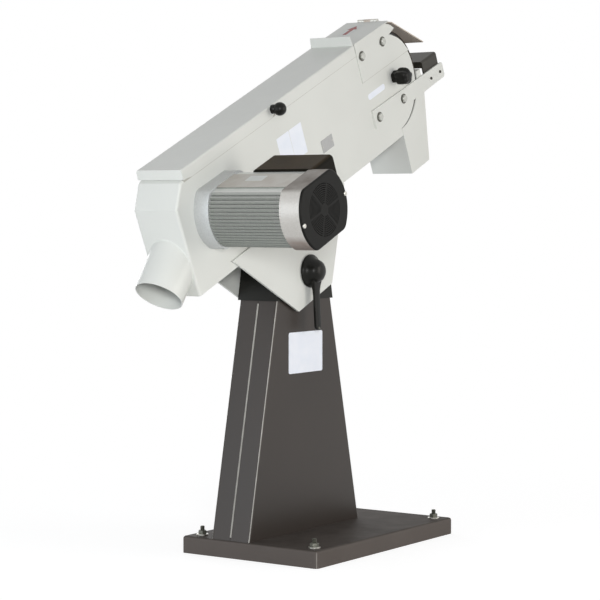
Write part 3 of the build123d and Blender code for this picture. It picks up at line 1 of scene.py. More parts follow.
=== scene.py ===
# %% [markdown]
# # Dressing a pedestal belt grinder
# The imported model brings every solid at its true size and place, in metres, with Z up. This script adds
# the finishes, the turned and threaded details, the studio and the camera. It never moves a solid.

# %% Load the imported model
import bmesh
import bpy
import math
from mathutils import Matrix, Vector


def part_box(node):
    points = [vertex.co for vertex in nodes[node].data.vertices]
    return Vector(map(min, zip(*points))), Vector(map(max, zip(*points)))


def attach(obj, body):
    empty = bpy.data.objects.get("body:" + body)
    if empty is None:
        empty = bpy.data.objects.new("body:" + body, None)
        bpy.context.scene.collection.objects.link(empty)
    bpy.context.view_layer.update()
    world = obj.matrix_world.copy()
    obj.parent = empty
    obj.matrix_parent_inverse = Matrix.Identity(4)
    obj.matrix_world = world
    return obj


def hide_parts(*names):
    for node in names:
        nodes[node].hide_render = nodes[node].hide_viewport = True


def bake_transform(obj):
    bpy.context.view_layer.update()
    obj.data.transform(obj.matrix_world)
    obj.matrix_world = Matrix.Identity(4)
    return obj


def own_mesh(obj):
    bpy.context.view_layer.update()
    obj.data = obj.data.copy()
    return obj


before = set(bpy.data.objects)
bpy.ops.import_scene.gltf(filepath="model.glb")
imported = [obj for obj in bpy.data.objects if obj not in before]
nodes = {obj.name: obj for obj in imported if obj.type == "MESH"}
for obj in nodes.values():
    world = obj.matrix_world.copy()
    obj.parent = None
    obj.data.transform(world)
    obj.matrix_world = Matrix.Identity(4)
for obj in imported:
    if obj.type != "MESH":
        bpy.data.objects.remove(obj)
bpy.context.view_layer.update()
scene = bpy.context.scene
scene.view_settings.view_transform = "Standard"

# %% [markdown]
# ## The arm's own frame
# Everything above the pivot leans by 24 degrees. Measures along the arm are easier to read in the arm's
# own frame: u along it from the drive axis, y across from its middle plane, w out of its top. One matrix
# takes such a place to the room, so a detail can be modelled upright and laid on the arm at the end.

# %% The arm's frame
MM = 0.001
ARM_TILT = math.radians(24)
ARM_MIDDLE = 50
PIVOT_X, PIVOT_Z = -60, 609
PIVOT = Vector((PIVOT_X, ARM_MIDDLE, PIVOT_Z)) * MM
PIVOT_ON_ARM = Vector((241.52, 0, -255.56)) * MM
ARM = Matrix.Translation(PIVOT) @ Matrix.Rotation(-ARM_TILT, 4, "Y") @ Matrix.Translation(-PIVOT_ON_ARM)
print("drive axis at", [round(c, 3) for c in ARM.translation])

# %% [markdown]
# ## The camera
# A long lens from a few metres away keeps upright edges nearly parallel, as in a catalogue picture. The
# place, the two angles and the lens were worked out from straight edges of the machine, so they are
# simply written down here. A camera looks along its own -Z, so its Z axis is the direction back towards
# the viewer.

# %% Camera
LENS_MM = 120.61
SENSOR_MM = 36
CAMERA_PLACE = Vector((-3698.2, -2492.4, 753.7)) * MM
CAMERA_REACH = 100
AZIMUTH = math.radians(-55.42)
ELEVATION = math.radians(2.71)
level = math.cos(ELEVATION)
back = Vector((math.sin(AZIMUTH) * level, -math.cos(AZIMUTH) * level, math.sin(ELEVATION)))
lens = bpy.data.cameras.new("catalogue_lens")
lens.lens = LENS_MM
lens.sensor_width = SENSOR_MM
lens.clip_end = CAMERA_REACH
camera = bpy.data.objects.new("catalogue_camera", lens)
camera.location = CAMERA_PLACE
camera.rotation_euler = back.to_track_quat("Z", "Y").to_euler()
scene.collection.objects.link(camera)
scene.camera = camera
print("camera", [round(c, 3) for c in camera.location])

# %% [markdown]
# ## Nodes, colours and small helpers
# A finish is a little network of nodes. One helper adds a node, sets its settings and fills or links its
# inputs, which keeps every finish short. Colours are written as sRGB hex values, as a paint chart gives
# them, and are turned to the linear values that a renderer adds up.

# %% Node helper and colours
WHITE = (1, 1, 1, 1)


def linear(code):
    """A hex colour as linear red, green, blue and a full alpha."""
    parts = [int(code[i:i + 2], 16) / 255 for i in (1, 3, 5)]
    return [c / 12.92 if c <= 0.04045 else ((c + 0.055) / 1.055) ** 2.4 for c in parts] + [1]


def add(tree, kind, inputs=(), **settings):
    """Add a node, set its settings, and set or link its inputs by name or number."""
    made = tree.nodes.new(kind)
    for key, value in settings.items():
        setattr(made, key, value)
    for key, value in dict(inputs).items():
        if isinstance(value, bpy.types.NodeSocket):
            tree.links.new(value, made.inputs[key])
        else:
            made.inputs[key].default_value = value
    return made


def calc(tree, operation, first, second=0.0):
    """One step of arithmetic between sockets or plain numbers."""
    return add(tree, "ShaderNodeMath", {0: first, 1: second}, operation=operation).outputs[0]


def new_finish(name):
    """A material with its tree emptied, its output node, and Object coordinates."""
    finish = bpy.data.materials.new(name)
    finish.use_nodes = True
    tree = finish.node_tree
    tree.nodes.clear()
    output = add(tree, "ShaderNodeOutputMaterial")
    place = add(tree, "ShaderNodeTexCoord").outputs["Object"]
    return finish, tree, output, place


print("mid grey in linear light", round(linear("#808080")[0], 3))


# %% [markdown]
# ## Studio: white surround
# A catalogue picture stands on white. The surround is white for what the lens and mirror-like surfaces
# see, and a quieter grey for the light that it gives, so that pale paint keeps its shading. The kind of
# ray that asks decides which of the two it gets.

# %% White surround
AMBIENT = 0.36


def mixed(tree, share, first, second):
    """One shader that turns into another as a share goes from 0 to 1."""
    return add(tree, "ShaderNodeMixShader", {0: share, 1: first.outputs[0], 2: second.outputs[0]})


def ray_is(tree, *kinds):
    """One for a ray of any of these kinds, and zero for all others."""
    rays = add(tree, "ShaderNodeLightPath").outputs
    answer = rays[f"Is {kinds[0]} Ray"]
    for kind in kinds[1:]:
        answer = calc(tree, "MAXIMUM", answer, rays[f"Is {kind} Ray"])
    return answer


world = bpy.data.worlds.new("white_surround")
scene.world = world
world.use_nodes = True
tree = world.node_tree
tree.nodes.clear()
seen = ray_is(tree, "Camera", "Glossy", "Transmission")
dim = add(tree, "ShaderNodeBackground", {"Color": linear("#F7F8FA"), "Strength": AMBIENT})
bright = add(tree, "ShaderNodeBackground", {"Color": WHITE, "Strength": 1})
add(tree, "ShaderNodeOutputWorld", {"Surface": mixed(tree, seen, dim, bright).outputs[0]})
print("surround", world.name, "with ambient light", AMBIENT)

# %% [markdown]
# ## Studio: floor
# The floor is part light and part painted board: it reads as white, and still takes the machine's soft
# shadow. Further out it turns into pure white, so that no horizon shows. For the light that bounces
# between floor and machine it is a plain pale board.

# %% Floor
FLOOR_SIZE = 60
FLOOR_GLOW = 0.80
FADE_NEAR, FADE_FAR = 0.55, 1.5
board, tree, output, place = new_finish("painted_floor_board")
plain = add(tree, "ShaderNodeBsdfDiffuse", {"Color": linear("#DADADA")})
matt = add(tree, "ShaderNodeBsdfDiffuse", {"Color": linear("#A0A0A0")})
glow = add(tree, "ShaderNodeEmission", {"Color": WHITE, "Strength": FLOOR_GLOW})
shadowed = add(tree, "ShaderNodeAddShader", {0: matt.outputs[0], 1: glow.outputs[0]})
distant = add(tree, "ShaderNodeEmission", {"Color": WHITE, "Strength": 1})
reach = add(tree, "ShaderNodeVectorMath", {0: place}, operation="LENGTH").outputs["Value"]
fade = add(tree, "ShaderNodeMapRange", {"Value": reach, "From Min": FADE_NEAR, "From Max": FADE_FAR},
           interpolation_type="SMOOTHSTEP").outputs["Result"]
shown = mixed(tree, fade, shadowed, distant)
painted = mixed(tree, ray_is(tree, "Camera", "Glossy"), plain, shown)
tree.links.new(painted.outputs[0], output.inputs["Surface"])
bm = bmesh.new()
bmesh.ops.create_grid(bm, x_segments=1, y_segments=1, size=FLOOR_SIZE / 2)
mesh = bpy.data.meshes.new("floor")
bm.to_mesh(mesh)
bm.free()
mesh.materials.append(board)
floor = bpy.data.objects.new("floor", mesh)
scene.collection.objects.link(floor)
print("floor", FLOOR_SIZE, "m wide")


# %% [markdown]
# ## Lamps
# The main lamp is a small soft box beside the lens. It lights what faces the viewer, leaves the tops a
# little darker, and puts a thin bright line on every fold that faces the lens. Two large boxes low on the
# left and on the right fill in, the left one a little cooler and the right one a little warmer. One more
# behind the machine keeps its far side as pale as its near side when it is seen from there.

# %% Soft boxes
AIM = Vector((0, 0, 0.7))
LARGE_BOX, SMALL_BOX = 2.2, 0.5
LAMPS = (("left_box", (-3.6, 1.4, 0.6), LARGE_BOX, 44, "#EEF6FF"),
         ("right_box", (1.2, -3.7, 1.0), LARGE_BOX, 53, "#FFF9F2"),
         ("lens_box", (-2.7, -1.95, 1.0), SMALL_BOX, 47, "#FFFFFF"),
         ("back_box", (2.2, 3.4, 0.9), LARGE_BOX, 46, "#FFFFFF"))


def soft_box(name, place, size, watts, colour):
    """A square area lamp that faces the middle of the machine."""
    lamp = bpy.data.lights.new(name, "AREA")
    lamp.shape = "SQUARE"
    lamp.size = size
    lamp.energy = watts
    lamp.color = linear(colour)[:3]
    thing = bpy.data.objects.new(name, lamp)
    thing.location = place
    thing.rotation_euler = (Vector(place) - AIM).to_track_quat("Z", "Y").to_euler()
    scene.collection.objects.link(thing)


for lamp_values in LAMPS:
    soft_box(*lamp_values)


# %% [markdown]
# ## Noise and tones
# No real surface has one even colour. A noise wanders between 0 and 1 over patches of a given width. Most
# of its values lie between 0.3 and 0.7, so that range is stretched before it mixes two close tones.

# %% Noise and tones
NOISE_LOW, NOISE_HIGH = 0.3, 0.7


def per_mm(size):
    """Noise scale whose features are about this many millimetres wide."""
    return 1 / (size * MM)


def spread(tree, value, low, high, bottom=0.0, top=1.0):
    """A value taken from one range to another and kept inside it."""
    ends = {"From Min": low, "From Max": high, "To Min": bottom, "To Max": top}
    return add(tree, "ShaderNodeMapRange", {"Value": value, **ends}).outputs["Result"]


def speckle(tree, place, size_mm, detail=3.0):
    """A noise whose patches are about this wide."""
    inputs = {"Vector": place, "Scale": per_mm(size_mm), "Detail": detail}
    return add(tree, "ShaderNodeTexNoise", inputs).outputs["Fac"]


def blend(tree, mask, below, above):
    """One colour over another, as much as a mask says."""
    return add(tree, "ShaderNodeMix", {0: mask, 6: below, 7: above}, data_type="RGBA").outputs[2]


def two_tones(tree, noise, deep, pale):
    """Two close colours, drifting from one to the other."""
    return blend(tree, spread(tree, noise, NOISE_LOW, NOISE_HIGH), linear(deep), linear(pale))


print("noise scale for patches of 10 mm", round(per_mm(10), 3))


# %% [markdown]
# ## Dust, painted light and painted shade
# A belt grinder lives in its own brown dust. It settles on what faces up, in patches, so its mask is the
# upward part of a surface's normal times a noise. The same mask, given other colours, paints light and
# shade on what faces up. Near a fold or an edge, another colour paints a highlight or a shadow. A fold is a
# place that is near two faces at once, so the larger of two distances tells how far it is; a noise breaks
# the painted line up. All of this is measured in the piece's own coordinates, so it stays on the piece
# when the machine moves.

# %% Dust and wear
DUST = "#8C7F70"
DUST_PATCH_MM = 45.0
DUST_DETAIL = 4.0
LIES_FROM, LIES_FULLY = 0.5, 0.95
EDGE_TONE_PATCH_MM = 35.0
EDGE_TONE_CORE = 0.6
EDGE_TONE_LEAST, EDGE_TONE_MOST = 0.55, 0.95


def settle_dust_and_shading(tree, place, colour, amount, dust_and_shading_colour=DUST, uneven=0.25):
    """Settled dust, in patches, on whatever faces up; with other colours, painted light and shade there."""
    facing = add(tree, "ShaderNodeTexCoord").outputs["Normal"]
    up = add(tree, "ShaderNodeSeparateXYZ", {0: facing}).outputs["Z"]
    lies = spread(tree, up, LIES_FROM, LIES_FULLY)
    patches = spread(tree, speckle(tree, place, DUST_PATCH_MM, DUST_DETAIL), NOISE_LOW, NOISE_HIGH,
                     (1 - uneven) * amount, (1 + uneven) * amount)
    return blend(tree, calc(tree, "MULTIPLY", lies, patches), colour, linear(dust_and_shading_colour))


def paint_edge_light_and_shade(tree, place, colour, fold, reach_mm, edge_tone_colour):
    """A painted highlight or shadow within reach of a fold or edge, unevenly along it."""
    line = spread(tree, fold(tree, place), reach_mm * MM, EDGE_TONE_CORE * reach_mm * MM)
    uneven = spread(tree, speckle(tree, place, EDGE_TONE_PATCH_MM), NOISE_LOW, NOISE_HIGH, EDGE_TONE_LEAST, EDGE_TONE_MOST)
    return blend(tree, calc(tree, "MULTIPLY", line, uneven), colour, linear(edge_tone_colour))


print("dust colour", [round(c, 3) for c in linear(DUST)[:3]])


# %% [markdown]
# ## Powder-coated sheet steel
# The arm is folded sheet with a baked powder coat. Powder flows out into a faintly pebbled skin, called
# orange peel, and its colour drifts a little from panel to panel. Two noises do that: a broad one for the
# colour, a fine one for the bump. Real peel is about 1.5 mm across, too fine for this picture, so it is
# drawn at 4 mm.

# %% Powder coat
PEEL_MM = 4.0
PEEL_DEPTH_MM = 0.05
PEEL_STRENGTH = 0.35
PEEL_DETAIL = 1.0
DRIFT_MM = 260.0
PAINT_GLOSS_DRIFT = 0.05


def surface(tree, output, height, strength, depth_mm, inputs):
    """A bumped surface shader, joined to the output."""
    bump = add(tree, "ShaderNodeBump", {"Height": height, "Strength": strength, "Distance": depth_mm * MM})
    skin = add(tree, "ShaderNodeBsdfPrincipled", {**inputs, "Normal": bump.outputs["Normal"]})
    tree.links.new(skin.outputs[0], output.inputs["Surface"])


def powder_coat(name, deep, pale, rough, specular=0.5, top_dust_and_shading=(), painted_edge_tone=()):
    """Paint whose colour drifts between two close values over a pebbled skin, with a painted highlight or
    shadow along a given edge.
    """
    finish, tree, output, place = new_finish(name)
    drift = speckle(tree, place, DRIFT_MM)
    colour = two_tones(tree, drift, deep, pale)
    if painted_edge_tone:
        colour = paint_edge_light_and_shade(tree, place, colour, *painted_edge_tone)
    if top_dust_and_shading:
        colour = settle_dust_and_shading(tree, place, colour, *top_dust_and_shading)
    gloss = spread(tree, drift, 0, 1, rough - PAINT_GLOSS_DRIFT, rough + PAINT_GLOSS_DRIFT)
    surface(tree, output, speckle(tree, place, PEEL_MM, PEEL_DETAIL), PEEL_STRENGTH, PEEL_DEPTH_MM,
            {"Base Color": colour, "Roughness": gloss, "Specular IOR Level": specular})
    return finish


def dress(finish, *names):
    """Give solids a finish."""
    for name in names:
        mesh = nodes[name].data
        mesh.materials.clear()
        mesh.materials.append(finish)


# %% [markdown]
# ## Folds and corners of the pedestal
# The column narrows upwards, so the distance to its slanted ends depends on the height. The base is a
# box: the larger of the distances to its side and its end says how far the nearest corner is.

# %% Folds and corners
BASE_TOP = 37
COLUMN_TOP = 552
COLUMN_NEAR, COLUMN_FAR = 0, 100
COLUMN_BACK = (-273.0, -167.5)
COLUMN_FRONT = (154.0, 37.3)


def lean_of(end):
    """How far an end of the column leans for each unit of height, from its foot and its head."""
    return (end[1] - end[0]) / (COLUMN_TOP - BASE_TOP)


def column_fold(tree, place):
    """How far the nearest upright fold of the column is."""
    x, y, z = add(tree, "ShaderNodeSeparateXYZ", {0: place}).outputs
    ends = []
    for end, inward in ((COLUMN_BACK, 1), (COLUMN_FRONT, -1)):
        upright = calc(tree, "SUBTRACT", x, calc(tree, "MULTIPLY", z, lean_of(end)))
        plane = (end[0] - lean_of(end) * BASE_TOP) * MM
        ends.append(calc(tree, "MULTIPLY", calc(tree, "SUBTRACT", upright, plane), inward))
    near = calc(tree, "SUBTRACT", y, COLUMN_NEAR * MM)
    far = calc(tree, "SUBTRACT", COLUMN_FAR * MM, y)
    return calc(tree, "MAXIMUM", calc(tree, "MINIMUM", *ends), calc(tree, "MINIMUM", near, far))


def pan_corner(tree, place):
    """How far the nearest upright corner of the base pan is."""
    outputs = add(tree, "ShaderNodeSeparateXYZ", {0: place}).outputs
    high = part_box("base_pan")[1]
    end = calc(tree, "SUBTRACT", high.x, calc(tree, "ABSOLUTE", outputs["X"]))
    side = calc(tree, "SUBTRACT", high.y, calc(tree, "ABSOLUTE", outputs["Y"]))
    return calc(tree, "MAXIMUM", end, side)


# %% [markdown]
# ## Edges on the arm
# A painted shadow lies on the arm's side plates under the flanges of the cover and of the guard, so the
# distance to their lower edges counts as well. The motor's flat top is painted a warm grey for the light it
# gets, and its rear shield is painted darker low down as painted shade. All of these lean with the arm, so
# they are measured in its own frame.

# %% Edges on the arm
GUARD_BACK, GUARD_EDGE = 612.0, 40.5
COVER_EDGE, COVER_RISE = 99.8, 0.0101
MOTOR_FLAT = 66.0


def along_arm(tree, place, axis):
    """How far a place lies along one axis of the arm's own frame."""
    direction = ARM.col[axis].xyz
    along = add(tree, "ShaderNodeVectorMath", {0: place, 1: direction}, operation="DOT_PRODUCT")
    return calc(tree, "SUBTRACT", along.outputs["Value"], direction.dot(ARM.translation))


def flange_edge(tree, place):
    """How far the lower edge of the cover's flange, or of the guard's in front of it, is."""
    u, w = (along_arm(tree, place, axis) for axis in (0, 2))
    behind = calc(tree, "LESS_THAN", u, GUARD_BACK * MM)
    cover = calc(tree, "ADD", calc(tree, "MULTIPLY", u, COVER_RISE), COVER_EDGE * MM)
    step = calc(tree, "MULTIPLY", calc(tree, "SUBTRACT", cover, GUARD_EDGE * MM), behind)
    return calc(tree, "ABSOLUTE", calc(tree, "SUBTRACT", calc(tree, "SUBTRACT", w, step), GUARD_EDGE * MM))


def motor_top(tree, place):
    """How far a place lies below the motor's flat top."""
    return calc(tree, "SUBTRACT", MOTOR_FLAT * MM, along_arm(tree, place, 2))


def motor_foot(tree, place):
    """How far a place lies above the motor's flat bottom."""
    return calc(tree, "ADD", MOTOR_FLAT * MM, along_arm(tree, place, 2))


# %% [markdown]
# ## Painted pieces
# The arm and its guards share one grey white, with a little dust on what faces up; the side plates carry a
# painted shadow under the cover's and the guard's flanges. The pedestal is anthracite, with a painted
# highlight along the column's folds and the base's upright corners, and painted shade on the base's top.
# The saddle under the arm is a satin black.

# %% Painted pieces
grey_white = powder_coat("powder_coat_grey_white", "#D8DAD5", "#DEE0DB", 0.36, top_dust_and_shading=(0.07,))
# The side plates carry a painted shadow along the lower edges of the cover's and the guard's flanges.
side_white = powder_coat("powder_coat_side_plates", "#D8DAD5", "#DEE0DB", 0.36, top_dust_and_shading=(0.07,),
                         painted_edge_tone=(flange_edge, 2.6, "#A29F94"))
# The column's folds carry a painted highlight: a pale line where a lamp would catch the bend.
anthracite = powder_coat("powder_coat_anthracite", "#2D2722", "#332C27", 0.36, 0.35,
                         painted_edge_tone=(column_fold, 2.8, "#BAB8B2"))
# The seam beads are painted pale, a painted highlight along each weld.
seam_highlight_paint = powder_coat("powder_coat_seam_painted_highlight", "#908E87", "#A6A49D", 0.40, 0.4)
# The base pan's upright corners carry a painted highlight, and its top is painted darker as painted shade.
pan_anthracite = powder_coat("powder_coat_anthracite_shaded", "#5A5450", "#625C58", 0.55, 0.06,
                             (0.75, "#3A3531"), (pan_corner, 3.4, "#B5B1AB"))
saddle_black = powder_coat("satin_black_paint", "#141410", "#191915", 0.45, 0.2)
dress(side_white, "arm_side_near", "arm_side_far")
dress(grey_white, "tail_and_floor_panel", "extraction_spigot", "yoke_cheeks",
      "top_cover", "upper_guard", "guard_brackets", "spark_chute")
dress(anthracite, "column_near_shell", "column_far_shell")
dress(pan_anthracite, "base_pan")
dress(saddle_black, "column_cap")
print("painted", grey_white.name, anthracite.name, pan_anthracite.name, saddle_black.name)


# %% [markdown]
# ## Steel, zinc and cast aluminium
# Bare and plated metal takes its look from fine scratches that run one way. A noise stretched along one
# axis draws them: a Mapping node squeezes the coordinates along the brushing. Cast aluminium has no
# brushing, only a grainy sand-cast skin, so it uses the same network with an even scale. Painted light
# and shade on what faces up and near an edge come from the same functions as on the paint.

# %% Metal
GRAIN_STRENGTH = 0.4
GRAIN_DETAIL = 4.0
METAL_GLOSS_DRIFT = 0.08


def even(size):
    """A grain as wide as it is long."""
    return (size, size, size)


def metal(name, deep, pale, rough, grain_mm, bump_mm=0.02, metallic=1.0, top_dust_and_shading=(), painted_edge_tone=()):
    """A metal whose tone and gloss follow a stretched grain, with dust and painted light and shade where
    given.
    """
    finish, tree, output, place = new_finish(name)
    stretch = add(tree, "ShaderNodeMapping", {"Vector": place, "Scale": [per_mm(size) for size in grain_mm]})
    inputs = {"Vector": stretch.outputs[0], "Scale": 1.0, "Detail": GRAIN_DETAIL}
    grain = add(tree, "ShaderNodeTexNoise", inputs).outputs["Fac"]
    colour = two_tones(tree, grain, deep, pale)
    if top_dust_and_shading:
        colour = settle_dust_and_shading(tree, place, colour, *top_dust_and_shading)
    if painted_edge_tone:
        colour = paint_edge_light_and_shade(tree, place, colour, *painted_edge_tone)
    gloss = spread(tree, grain, 0, 1, rough - METAL_GLOSS_DRIFT, rough + METAL_GLOSS_DRIFT)
    surface(tree, output, grain, GRAIN_STRENGTH, bump_mm,
            {"Base Color": colour, "Metallic": metallic, "Roughness": gloss})
    return finish


# %% [markdown]
# ## Metal pieces
# The guard's bolts are bright; its washers are dark, a painted shade round each head, and the anchor studs
# are dull. The spark guard is a pale warm grey, lightened as painted light for its face in shade, and the
# work rest is black. The motor's castings are aluminium: the finned middle is painted, the ends are bare.
# The fins' upward faces are painted pale as a painted highlight and the flat top a warm grey for the light
# it gets; the shields' upward faces and the rear shield's lower part are painted darker as painted shade.

# %% Metal pieces
zinc = metal("zinc_plated_steel", "#B4B3AC", "#CCCBC5", 0.34, even(5.0))
bolt_steel = metal("bright_bolt_steel", "#B4B5AF", "#CACBC5", 0.38, even(4.0), metallic=0.5)
# The washers are painted dark as painted shade round each guard bolt head.
washer_steel = metal("darkened_washer_steel", "#4E4E48", "#62625A", 0.42, even(4.0), metallic=0.5)
stud_steel = metal("oiled_stud_steel", "#4C4D46", "#66665C", 0.45, even(4.0), metallic=0.4)
ground_steel = metal("ground_steel", "#9B9B9A", "#B9B9B8", 0.30, (0.8, 25.0, 0.8))
# The spark guard's colour is lightened, painted light for its face that lies in shade.
mill_steel = metal("lightened_mill_steel", "#BAAFA3", "#C8BDB1", 0.45, (20.0, 2.0, 20.0), metallic=0.1)
rest_steel = metal("black_oxide_steel", "#2B2822", "#35322B", 0.46, (12.0, 3.0, 12.0), metallic=0.35)
# Pale on the fins' upward faces is a painted highlight; the flat top is painted a warm grey for its light.
fin_alu = metal("painted_cast_aluminium", "#7A7E79", "#898C85", 0.45, even(3.0), 0.05, 0.2,
                (0.85, "#E6E7E2", 0.05), (motor_top, 3.0, "#B0A9A0"))
# The front shield's upward faces are painted a little darker as painted shade.
front_alu = metal("bare_cast_aluminium", "#BDC0C0", "#CDCFCF", 0.40, even(2.5), 0.05, 0.3,
                  (0.1, "#7E7468"))
# The rear shield's upward faces and its lower part are painted darker as painted shade.
rear_alu = metal("yellowed_cast_aluminium", "#B2AFA9", "#C2BFBA", 0.40, even(2.5), 0.05, 0.3,
                 (0.85, "#52473D"), (motor_foot, 46.0, "#7E6E65"))
turned_alu = metal("turned_aluminium", "#A9A9A8", "#C2C2C0", 0.3, (0.8, 20.0, 0.8))
core_iron = metal("laminated_core_iron", "#4A4845", "#5A5754", 0.55, (20.0, 1.0, 20.0), 0.05)
dress(zinc, "pivot_nut_and_washers", "cover_hinge_fixed_leaves", "cover_hinge_moving_leaves",
      "spark_hinge_leaf_and_pin", "motor_bolts", "drum_end_screw")
dress(ground_steel, "pivot_bolt", "platen", "axle_guides", "tension_springs", "axle_block_far",
      "axle_block_near", "wheel_axle", "axle_spacers", "wheel_bearings", "tracking_cam_shaft",
      "motor_bearings", "motor_shaft")
dress(bolt_steel, "guard_bolts_and_washers")
dress(stud_steel, "anchor_studs", "anchor_nuts_and_washers")
dress(mill_steel, "spark_guard")
dress(rest_steel, "work_rest", "rest_screws_and_nuts")
dress(fin_alu, "motor_finned_body")
dress(front_alu, "motor_front_shield")
dress(rear_alu, "motor_rear_shield")
dress(turned_alu, "contact_wheel_hub", "drive_drum")
dress(core_iron, "stator_core", "rotor_core")
print("metals", zinc.name, ground_steel.name, fin_alu.name, turned_alu.name)


# %% [markdown]
# ## Plastics, rubber, abrasive
# Knobs and covers are black moulded plastic with a fine spark-eroded grain. The belt is cloth with brown
# corundum grit, which breaks the light into dark and light specks. The grit is about 0.4 mm; it is drawn
# at 1.2 mm so that it shows.

# %% Plastics, rubber, abrasive
def moulded(name, deep, pale, rough, grain_mm=1.5, bump_mm=0.04, specular=0.5, top_dust_and_shading=()):
    """Plastic or rubber with an even fine grain."""
    finish, tree, output, place = new_finish(name)
    grain = speckle(tree, place, grain_mm)
    colour = two_tones(tree, grain, deep, pale)
    if top_dust_and_shading:
        colour = settle_dust_and_shading(tree, place, colour, *top_dust_and_shading)
    surface(tree, output, grain, GRAIN_STRENGTH, bump_mm,
            {"Base Color": colour, "Roughness": rough, "Specular IOR Level": specular})
    return finish


# %% Plastic, rubber and abrasive pieces
box_plastic = moulded("moulded_black_plastic", "#16140F", "#1B1914", 0.45, specular=0.05,
                      top_dust_and_shading=(0.16, "#7A6548"))
fan_plastic = moulded("moulded_fan_cover", "#0D0D0B", "#121210", 0.45, specular=0.13)
knob_black = moulded("phenolic_knob_black", "#11110E", "#151512", 0.34, 2.5, 0.01, 0.18)
rubber = moulded("wheel_rubber", "#1D1D1C", "#242423", 0.7, 2.0)
grit = moulded("corundum_belt", "#2E2620", "#4E4136", 0.75, 1.2, 0.3)
graphite = moulded("graphite_cloth", "#2A2A2B", "#39393A", 0.6, 1.0, 0.1)
go_green = moulded("green_button_plastic", "#1E7A3A", "#258445", 0.3, 3.0, 0.01)
stop_red = moulded("red_button_plastic", "#B3201B", "#BD2822", 0.3, 3.0, 0.01)
arrow_red = moulded("red_arrow_ink", "#7E1F1C", "#8A2622", 0.4, 12.0, 0.005)
label_film = moulded("blank_label_film", "#EBF1FB", "#F2F6FE", 0.35, 30.0, 0.005)
worn_film = moulded("worn_clear_film", "#CDCFCB", "#D6D8D5", 0.4, 30.0, 0.005)
dress(fan_plastic, "fan_cover", "cooling_fan")
dress(box_plastic, "switch_box", "switch_box_lid", "cable_gland")
dress(knob_black, "clamp_hub", "clamp_lever", "tracking_knob", "cover_knob")
dress(rubber, "contact_wheel_tyre")
dress(grit, "sanding_belt")
dress(graphite, "platen_pad")
dress(go_green, "start_button")
dress(stop_red, "stop_button")
dress(label_film, "blank_label_plate")
undressed = [name for name, thing in nodes.items()
             if not thing.data.materials or not thing.data.materials[0].use_nodes]
print("solids without a finish", undressed)


# %% [markdown]
# ## Turned shapes
# Knobs, hubs, washers, studs and rivets are all turned: one half-profile swept round an axis. `spin` does
# it in one call. The profile lists radius and height in millimetres from the bottom up, and a full turn
# is merged. Other shapes start as a flat face that is pulled up ring by ring.

# %% Turning and pulling
MERGE = 1e-6
FULL_TURN = 2 * math.pi


def turned(profile, steps=48):
    """A half-profile of (radius, height) points in mm, spun once round Z."""
    bm = bmesh.new()
    line = [bm.verts.new((radius * MM, 0, height * MM)) for radius, height in profile]
    edges = [bm.edges.new(pair) for pair in zip(line, line[1:])]
    bmesh.ops.spin(bm, geom=line + edges, axis=(0, 0, 1), cent=(0, 0, 0), steps=steps, angle=FULL_TURN,
                   use_merge=True)
    bmesh.ops.remove_doubles(bm, verts=bm.verts, dist=MERGE)
    return bm


def pull(bm, rise):
    """Extrude the topmost face upwards by so many mm, and return its new ring of points."""
    top = max(bm.faces, key=lambda face: (face.calc_center_median().z, len(face.verts)))
    made = bmesh.ops.extrude_face_region(bm, geom=[top] + top.edges[:])["geom"]
    ring = [item for item in made if isinstance(item, bmesh.types.BMVert)]
    bmesh.ops.translate(bm, vec=(0, 0, rise * MM), verts=ring)
    return ring


# %% [markdown]
# ## Placing a piece
# A finished mesh is moved where it belongs, its normals are made to point outwards, and only then does it
# become an object, which rides on the body that carries it. Edges sharper than 32 degrees stay crisp.

# %% Placing a piece
CREASE = math.radians(32)
OUT_NEAR = Matrix.Rotation(math.radians(90), 4, "X")
OUT_FAR = Matrix.Rotation(math.radians(-90), 4, "X")


def gather(target, shape, place):
    """Move one shape to its place and add it to another."""
    shape.transform(place)
    spare = bpy.data.meshes.new("spare")
    shape.to_mesh(spare)
    shape.free()
    target.from_mesh(spare)
    bpy.data.meshes.remove(spare)


def put(name, bm, finish, body, stands_for=(), place=Matrix()):
    """Make a shape an object at its place, riding on a body."""
    bm.transform(place)
    bmesh.ops.recalc_face_normals(bm, faces=bm.faces)
    mesh = bpy.data.meshes.new(name)
    open_edges = sum(1 for edge in bm.edges if len(edge.link_faces) != 2)
    bm.to_mesh(mesh)
    bm.free()
    mesh.materials.append(finish)
    mesh.shade_smooth()
    mesh.set_sharp_from_angle(angle=CREASE)
    piece = bpy.data.objects.new(name, mesh)
    scene.collection.objects.link(piece)
    if body:
        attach(piece, body)
    if stands_for:
        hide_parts(*stands_for)
    print(name, len(mesh.polygons), "faces,", open_edges, "open edges")
    return piece


def at_mm(x, y, z):
    """A move to a place given in mm."""
    return Matrix.Translation(Vector((x, y, z)) * MM)


def twist(degrees):
    """A turn round Z."""
    return Matrix.Rotation(math.radians(degrees), 4, "Z")


# %% [markdown]
# ## Hexagon heads and nuts
# A bolt head is a hexagon bar whose corners were turned off: seen from the end, a round flat with six
# arcs below it. The outline starts as a circle of 36 points that are moved onto the hexagon. Two
# extrusions make the flanks and the turned chamfer, and the last ring goes back onto a circle.

# %% Hexagon head
HEX_POINTS = 36
HEX_SIDE = math.pi / 3
TURNED_SHARE = 0.83


